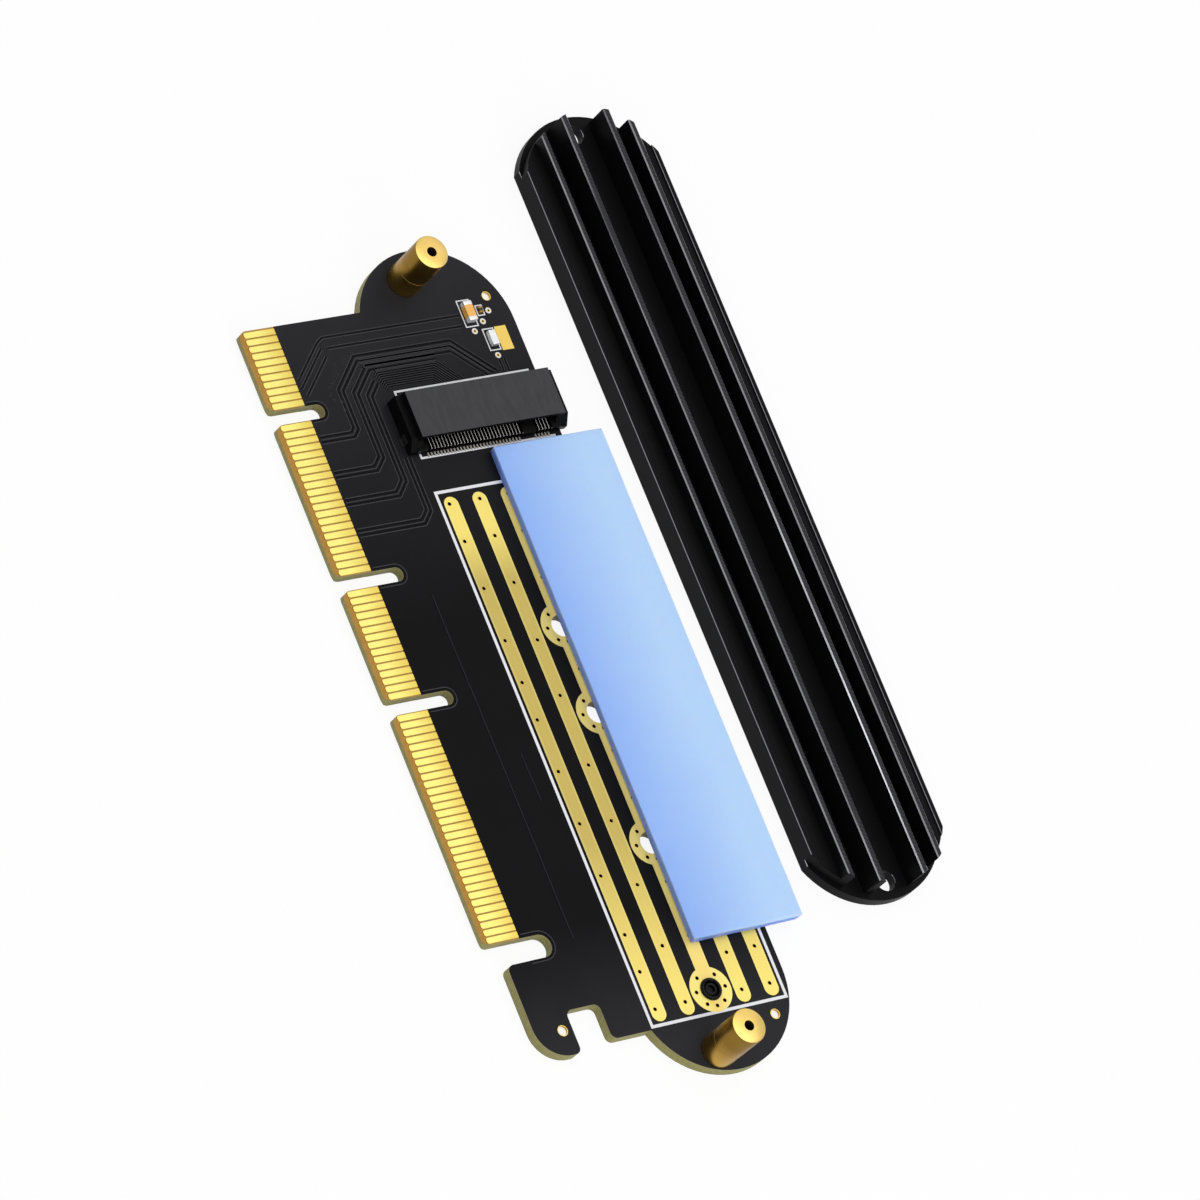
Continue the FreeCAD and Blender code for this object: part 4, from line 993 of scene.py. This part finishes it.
# The drive's nut and screw: blackened steel, the round nut pressed into the last ring's hole and the
# button-headed screw sunk in it.
blackened_steel = grained_finish(
    "blackened_steel", 0.2, "#020203", "#0a0a0b", detail=3.0,
    Roughness=0.1, IOR=1.5, Specular_IOR_Level=0.16,
)

nut_low, nut_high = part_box("drive_nut")
nut_top = nut_high.z / MM
nut_outline = [
    (0, 0), (1.45, 0), (1.45, 1.6), (1.47, 1.66), (1.46, nut_top - 0.16), (1.42, nut_top - 0.08),
    (1.34, nut_top - 0.02), (1.22, nut_top), (1.12, nut_top - 0.03), (1.06, nut_top - 0.1),
    (1.05, nut_top - 0.5), (0.97, nut_top - 0.55), (0, nut_top - 0.55),
]
nut = turn("drive_nut_turned", (nut_low + nut_high) / 2, nut_outline, blackened_steel)
seat(nut)
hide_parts("drive_nut")

screw_low, screw_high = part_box("drive_screw")
screw_top = screw_high.z / MM
screw_outline = [
    (0, screw_top - 0.4), (0.9, screw_top - 0.4), (0.93, screw_top - 0.2), (0.86, screw_top - 0.08),
    (0.74, screw_top - 0.01), (0.6, screw_top), (0.5, screw_top - 0.03), (0.46, screw_top - 0.1),
    (0.45, screw_top - 0.36), (0, screw_top - 0.36),
]
screw = turn("drive_screw_turned", (screw_low + screw_high) / 2, screw_outline, blackened_steel)
seat(screw)
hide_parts("drive_screw")


# The drive socket: one moulding of heat-proof black nylon, with a dark satin skin that shows faint
# flow lines across the roof.
moulded_nylon, tree, shader, place = new_finish(
    "moulded_nylon", Roughness=0.5, IOR=1.53, Specular_IOR_Level=0.3
)
drawn_out = add(tree, "ShaderNodeMapping", {0: place, "Scale": (0.25, 1.0, 1.0)})
nylon_shade, flow = two_tone(tree, drawn_out.outputs[0], 0.6, "#252528", "#3c3c41", detail=4.0)
tree.links.new(nylon_shade, shader.inputs["Base Color"])
bump = add(tree, "ShaderNodeBump", {"Strength": 0.35, "Distance": 0.03 * MM, "Height": flow})
tree.links.new(bump.outputs[0], shader.inputs["Normal"])

# The socket's contacts: phosphor bronze with a pale flash of gold over nickel, bright at the tips.
pale_gold, tree, shader, place = new_finish("pale_gold_flash", Metallic=0.1, Roughness=0.4)
flash_shade = two_tone(tree, place, 0.3, "#fbf6e6", "#ffffff")[0]
# The soldered tails at the board are greyer than the springs above them.
apart = add(tree, "ShaderNodeSeparateXYZ", {0: place})
above_tails = add(
    tree, "ShaderNodeMapRange",
    {"Value": apart.outputs["Z"],
     "From Min": BOARD_TOP + 0.25 * MM, "From Max": BOARD_TOP + 0.4 * MM},
)
flash_shade = add(
    tree, "ShaderNodeMix",
    {0: above_tails.outputs[0], 6: linear("#aaa69a"), 7: flash_shade}, data_type="RGBA",
)
tree.links.new(flash_shade.outputs[2], shader.inputs["Base Color"])

# The pins' sides and undersides, which face away from the light, are painted dark bronze as painted
# shade.
pin_sides_painted_shade = grained_finish("pin_sides_painted_shade", 0.3, "#15120a", "#3c3420", Metallic=0.7, Roughness=0.5)
for name in ("socket_front_pins", "socket_rear_pins"):
    pins = frame["nodes"][name]
    link_finishes(pins, pale_gold, pin_sides_painted_shade)
    for face in pins.data.polygons:
        if face.normal.z < 0.5:
            face.material_index = 1

# The walls of the moulding are a little glossier from the tool's draw, and are painted deep black
# beside the roof as painted shade.
nylon_in_painted_shade = grained_finish(
    "moulded_nylon_painted_shade", 0.8, "#050506", "#111113", detail=3.0,
    Roughness=0.4, IOR=1.53, Specular_IOR_Level=0.06,
)
housing = frame["nodes"]["socket_housing"]
link_finishes(housing, moulded_nylon, nylon_in_painted_shade)
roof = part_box("socket_housing")[1].z - 0.2 * MM
for face in housing.data.polygons:
    if face.normal.z < 0.9 or face.center.z < roof:
        face.material_index = 1
soften(housing, 0.06 * MM)


# Lead-free solder: the socket's hold-downs and the ends of the small components are tinned, where
# they are soldered to the board.
solder_tin, tree, shader, place = new_finish("bright_solder_tin", Metallic=0.45, Roughness=0.3)
tin_shade, grain = two_tone(tree, place, 0.2, "#ececea", "#ffffff", detail=3.0)
tree.links.new(tin_shade, shader.inputs["Base Color"])
bump = add(tree, "ShaderNodeBump", {"Strength": 0.3, "Distance": 0.02 * MM, "Height": grain})
tree.links.new(bump.outputs[0], shader.inputs["Normal"])

# The resistor's ends are browned by flux.
browned_tin = grained_finish(
    "flux_browned_tin", 0.3, "#6a4c14", "#d8a844", detail=3.0, Metallic=0.5, Roughness=0.4
)
for name, finish in (
    ("capacitor_terminals", solder_tin), ("resistor_terminals", browned_tin),
    ("led_terminals", solder_tin),
):
    link_finishes(frame["nodes"][name], finish)
    soften(frame["nodes"][name], 0.03 * MM)

# The hold-downs are dull, lie in the socket's shade, and are painted near black as painted shade.
hold_down_painted_shade = grained_finish(
    "hold_down_painted_shade", 0.2, "#101011", "#1e1e20", detail=3.0, Roughness=0.6, Specular_IOR_Level=0.2
)
link_finishes(frame["nodes"]["socket_hold_downs"], hold_down_painted_shade)
soften(frame["nodes"]["socket_hold_downs"], 0.03 * MM)


# The small components by the upper standoff: a tan ceramic capacitor, a resistor with a black glaze
# and a white light-emitting diode.
fired_ceramic = grained_finish(
    "fired_ceramic", 0.3, "#eea63a", "#ffca6c", detail=3.0, Roughness=0.4, IOR=1.6
)

# The resistor's glaze is black glass, browned in places by flux.
resistor_glaze = grained_finish(
    "resistor_glaze", 0.3, "#0d0c0b", "#3a2c12", detail=3.0, Roughness=0.3, IOR=1.5
)

# The diode's resin is cloudy and nearly white.
led_resin = grained_finish("white_led_resin", 0.4, "#eceef2", "#ffffff", Roughness=0.3, IOR=1.5)
for name, finish, slot_name in (
    ("capacitor_body", fired_ceramic, "fired_ceramic"),
    ("resistor_body", resistor_glaze, "resistor_glaze"),
    ("led_body", led_resin, "white_led_resin"),
):
    link_finishes(frame["nodes"][name], finish)
    soften(frame["nodes"][name], 0.05 * MM)


# The thermal pad: a soft strip of filled silicone gel, cut with a knife and laid on the strips. Its
# faces are flat but uneven by a few hundredths, and its cut edges are a little round.
soft_silicone, tree, shader, place = new_finish(
    "soft_silicone", Roughness=0.55, IOR=1.41, Specular_IOR_Level=0.3,
    Subsurface_Weight=0.4, Subsurface_Scale=1.5 * MM,
)
apart = add(tree, "ShaderNodeSeparateXYZ", {0: place})
haze = add(tree, "ShaderNodeTexNoise", {"Vector": place, "Scale": 1 / (14 * MM), "Detail": 2.0})
hazy_place = add(
    tree, "ShaderNodeMath", {0: haze.outputs["Fac"], 1: 4 * MM, 2: apart.outputs["Y"]},
    operation="MULTIPLY_ADD",
)
across = add(
    tree, "ShaderNodeMapRange",
    {"Value": hazy_place.outputs[0], "From Min": 4 * MM, "From Max": 17 * MM},
)
silicone_shade = add(
    tree, "ShaderNodeMix",
    {0: across.outputs[0], 6: linear("#92b5f4"), 7: linear("#b4d4fb")}, data_type="RGBA",
)
# The sides below the top are painted a deeper blue as painted shade, and are given more subsurface
# scattering.
painted_side_shade = add(
    tree, "ShaderNodeMapRange",
    {"Value": apart.outputs["Z"], "From Min": 2.95 * MM, "From Max": 2.6 * MM},
)
silicone_shade = add(
    tree, "ShaderNodeMix",
    {0: painted_side_shade.outputs[0], 6: silicone_shade.outputs[2], 7: linear("#7c9cff")}, data_type="RGBA",
)
tree.links.new(silicone_shade.outputs[2], shader.inputs["Base Color"])
side_depth = add(
    tree, "ShaderNodeMapRange", {"Value": painted_side_shade.outputs[0], "To Min": 0.4, "To Max": 0.9}
)
tree.links.new(side_depth.outputs[0], shader.inputs["Subsurface Weight"])
grain = add(tree, "ShaderNodeTexNoise", {"Vector": place, "Scale": 1 / (0.5 * MM), "Detail": 3.0})
bump = add(
    tree, "ShaderNodeBump", {"Strength": 0.15, "Distance": 0.02 * MM, "Height": grain.outputs["Fac"]}
)
tree.links.new(bump.outputs[0], shader.inputs["Normal"])

PAD_EDGE = 0.15 * MM
PAD_CELL = 1.2 * MM
PAD_WAVE = 0.05 * MM
PAD_STRETCH = Vector((0.35, 0, 0)) * MM
PAD_FOOT = 0.3 * MM
WAVE_LENGTH = 7 * MM
KNIFE_LEAN = 0.2
pad_low, pad_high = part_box("thermal_pad")
pad_low = pad_low - PAD_STRETCH
pad_high = pad_high + PAD_STRETCH
work = bmesh.new()
bmesh.ops.create_cube(work, size=1)
size = pad_high - pad_low
middle = (pad_low + pad_high) / 2
bmesh.ops.scale(work, vec=size - Vector((PAD_WAVE, PAD_WAVE, 0)), verts=work.verts)
bmesh.ops.translate(work, vec=middle, verts=work.verts)
bmesh.ops.bevel(
    work, geom=work.edges[:], offset=PAD_EDGE, segments=3, profile=0.55, affect="EDGES"
)
for axis in (0, 1):
    cuts = int(size[axis] / PAD_CELL)
    for cut in range(1, cuts):
        point = pad_low.copy()
        point[axis] += size[axis] * cut / cuts
        direction = Vector((0, 0, 0))
        direction[axis] = 1
        bmesh.ops.bisect_plane(
            work, geom=work.verts[:] + work.edges[:] + work.faces[:],
            plane_co=point, plane_no=direction,
        )
for vert in work.verts:
    depth = pad_high.z - vert.co.z
    vert.co.y -= math.copysign(KNIFE_LEAN * depth, vert.co.y - middle.y)
    wave = noise.noise_vector(vert.co / WAVE_LENGTH)
    if vert.co.z > pad_low.z + PAD_FOOT:
        vert.co += wave * PAD_WAVE
    else:
        vert.co.x += wave.x * PAD_WAVE
        vert.co.y += wave.y * PAD_WAVE
pad_mesh = bpy.data.meshes.new("thermal_pad_cut")
work.to_mesh(pad_mesh)
work.free()
pad_mesh.shade_smooth()
pad = bpy.data.objects.new("thermal_pad_cut", pad_mesh)
bpy.context.scene.collection.objects.link(pad)
pad_mesh.materials.append(soft_silicone)
seat(pad)
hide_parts("thermal_pad")


# The heatsink: an aluminium extrusion with upright fins, its ends milled round, anodised black. The
# die leaves fine lines along it, and the corners of the fins and its slanted faces carry a painted
# highlight.
anodised, tree, shader, place = new_finish(
    "black_anodised_aluminium", Roughness=0.45, IOR=1.6, Specular_IOR_Level=0.06
)
drawn_out = add(tree, "ShaderNodeMapping", {0: place, "Scale": (0.004, 1.0, 1.0)})
film_shade, die_lines = two_tone(
    tree, drawn_out.outputs[0], 0.25, "#060607", "#121214", detail=3.0
)
tree.links.new(film_shade, shader.inputs["Base Color"])
bump = add(tree, "ShaderNodeBump", {"Strength": 0.25, "Distance": 0.02 * MM, "Height": die_lines})
tree.links.new(bump.outputs[0], shader.inputs["Normal"])

# The rounded corners of the fins and the slanted faces are painted pale aluminium, a painted
# highlight.
edge_highlight_finish = grained_finish(
    "fin_edge_painted_highlight", 0.8, "#909098", "#bcbcc4", detail=3.0, Metallic=1.0, Roughness=0.3
)
FIN_TOPS = 4.7 * MM
EDGE_ROUND = 0.07 * MM
LEVEL = 0.95
SLANTED = 0.3
SHARP_CORNER = math.radians(60)
ABOVE_FOOT = 1.0 * MM
ALONG_FINS = 0.9
work = bmesh.new()
work.from_mesh(frame["nodes"]["heatsink"].data)
bmesh.ops.remove_doubles(work, verts=work.verts, dist=SAME_POINT)
bmesh.ops.dissolve_limit(work, angle_limit=FLAT_ANGLE, verts=work.verts, edges=work.edges)
for face in work.faces:
    slanted = SLANTED < abs(face.normal.z) < LEVEL and abs(face.normal.y) > SLANTED
    face.material_index = 1 if slanted else 0
    if face.normal.z > LEVEL and face.calc_center_median().z > FIN_TOPS:
        face.material_index = 2
corners = [
    edge for edge in work.edges
    if len(edge.link_faces) == 2
    and edge.calc_face_angle() > SHARP_CORNER
    and edge.is_convex
    and min(vert.co.z for vert in edge.verts) > ABOVE_FOOT
    and abs((edge.verts[1].co - edge.verts[0].co).normalized().x) > ALONG_FINS
]
bmesh.ops.bevel(
    work, geom=corners, offset=EDGE_ROUND, segments=1, profile=0.7, affect="EDGES",
    clamp_overlap=False, material=1,
)
sink_mesh = bpy.data.meshes.new("heatsink_finished")
work.to_mesh(sink_mesh)
work.free()
heatsink = bpy.data.objects.new("heatsink_finished", sink_mesh)
bpy.context.scene.collection.objects.link(heatsink)

# The tops of the fins are sawn flush, and carry a fine slanting grain.
sawn_top, tree, shader, place = new_finish(
    "sawn_fin_top", Roughness=0.45, IOR=1.6, Specular_IOR_Level=0.2
)
SAW_MARK = 0.5 * MM
marks = add(
    tree, "ShaderNodeTexWave",
    {"Vector": add(
        tree, "ShaderNodeMapping", {0: place, "Rotation": (0, 0, math.radians(35))}
    ).outputs[0], "Scale": 0.32 / SAW_MARK, "Distortion": 0.3},
    wave_type="BANDS", bands_direction="X",
)
saw_shade = add(
    tree, "ShaderNodeMix",
    {0: marks.outputs["Fac"], 6: linear("#151518"), 7: linear("#2c2c31")}, data_type="RGBA",
)
tree.links.new(saw_shade.outputs[2], shader.inputs["Base Color"])
for finish in (anodised, edge_highlight_finish, sawn_top):
    sink_mesh.materials.append(finish)
seat(heatsink)
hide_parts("heatsink")
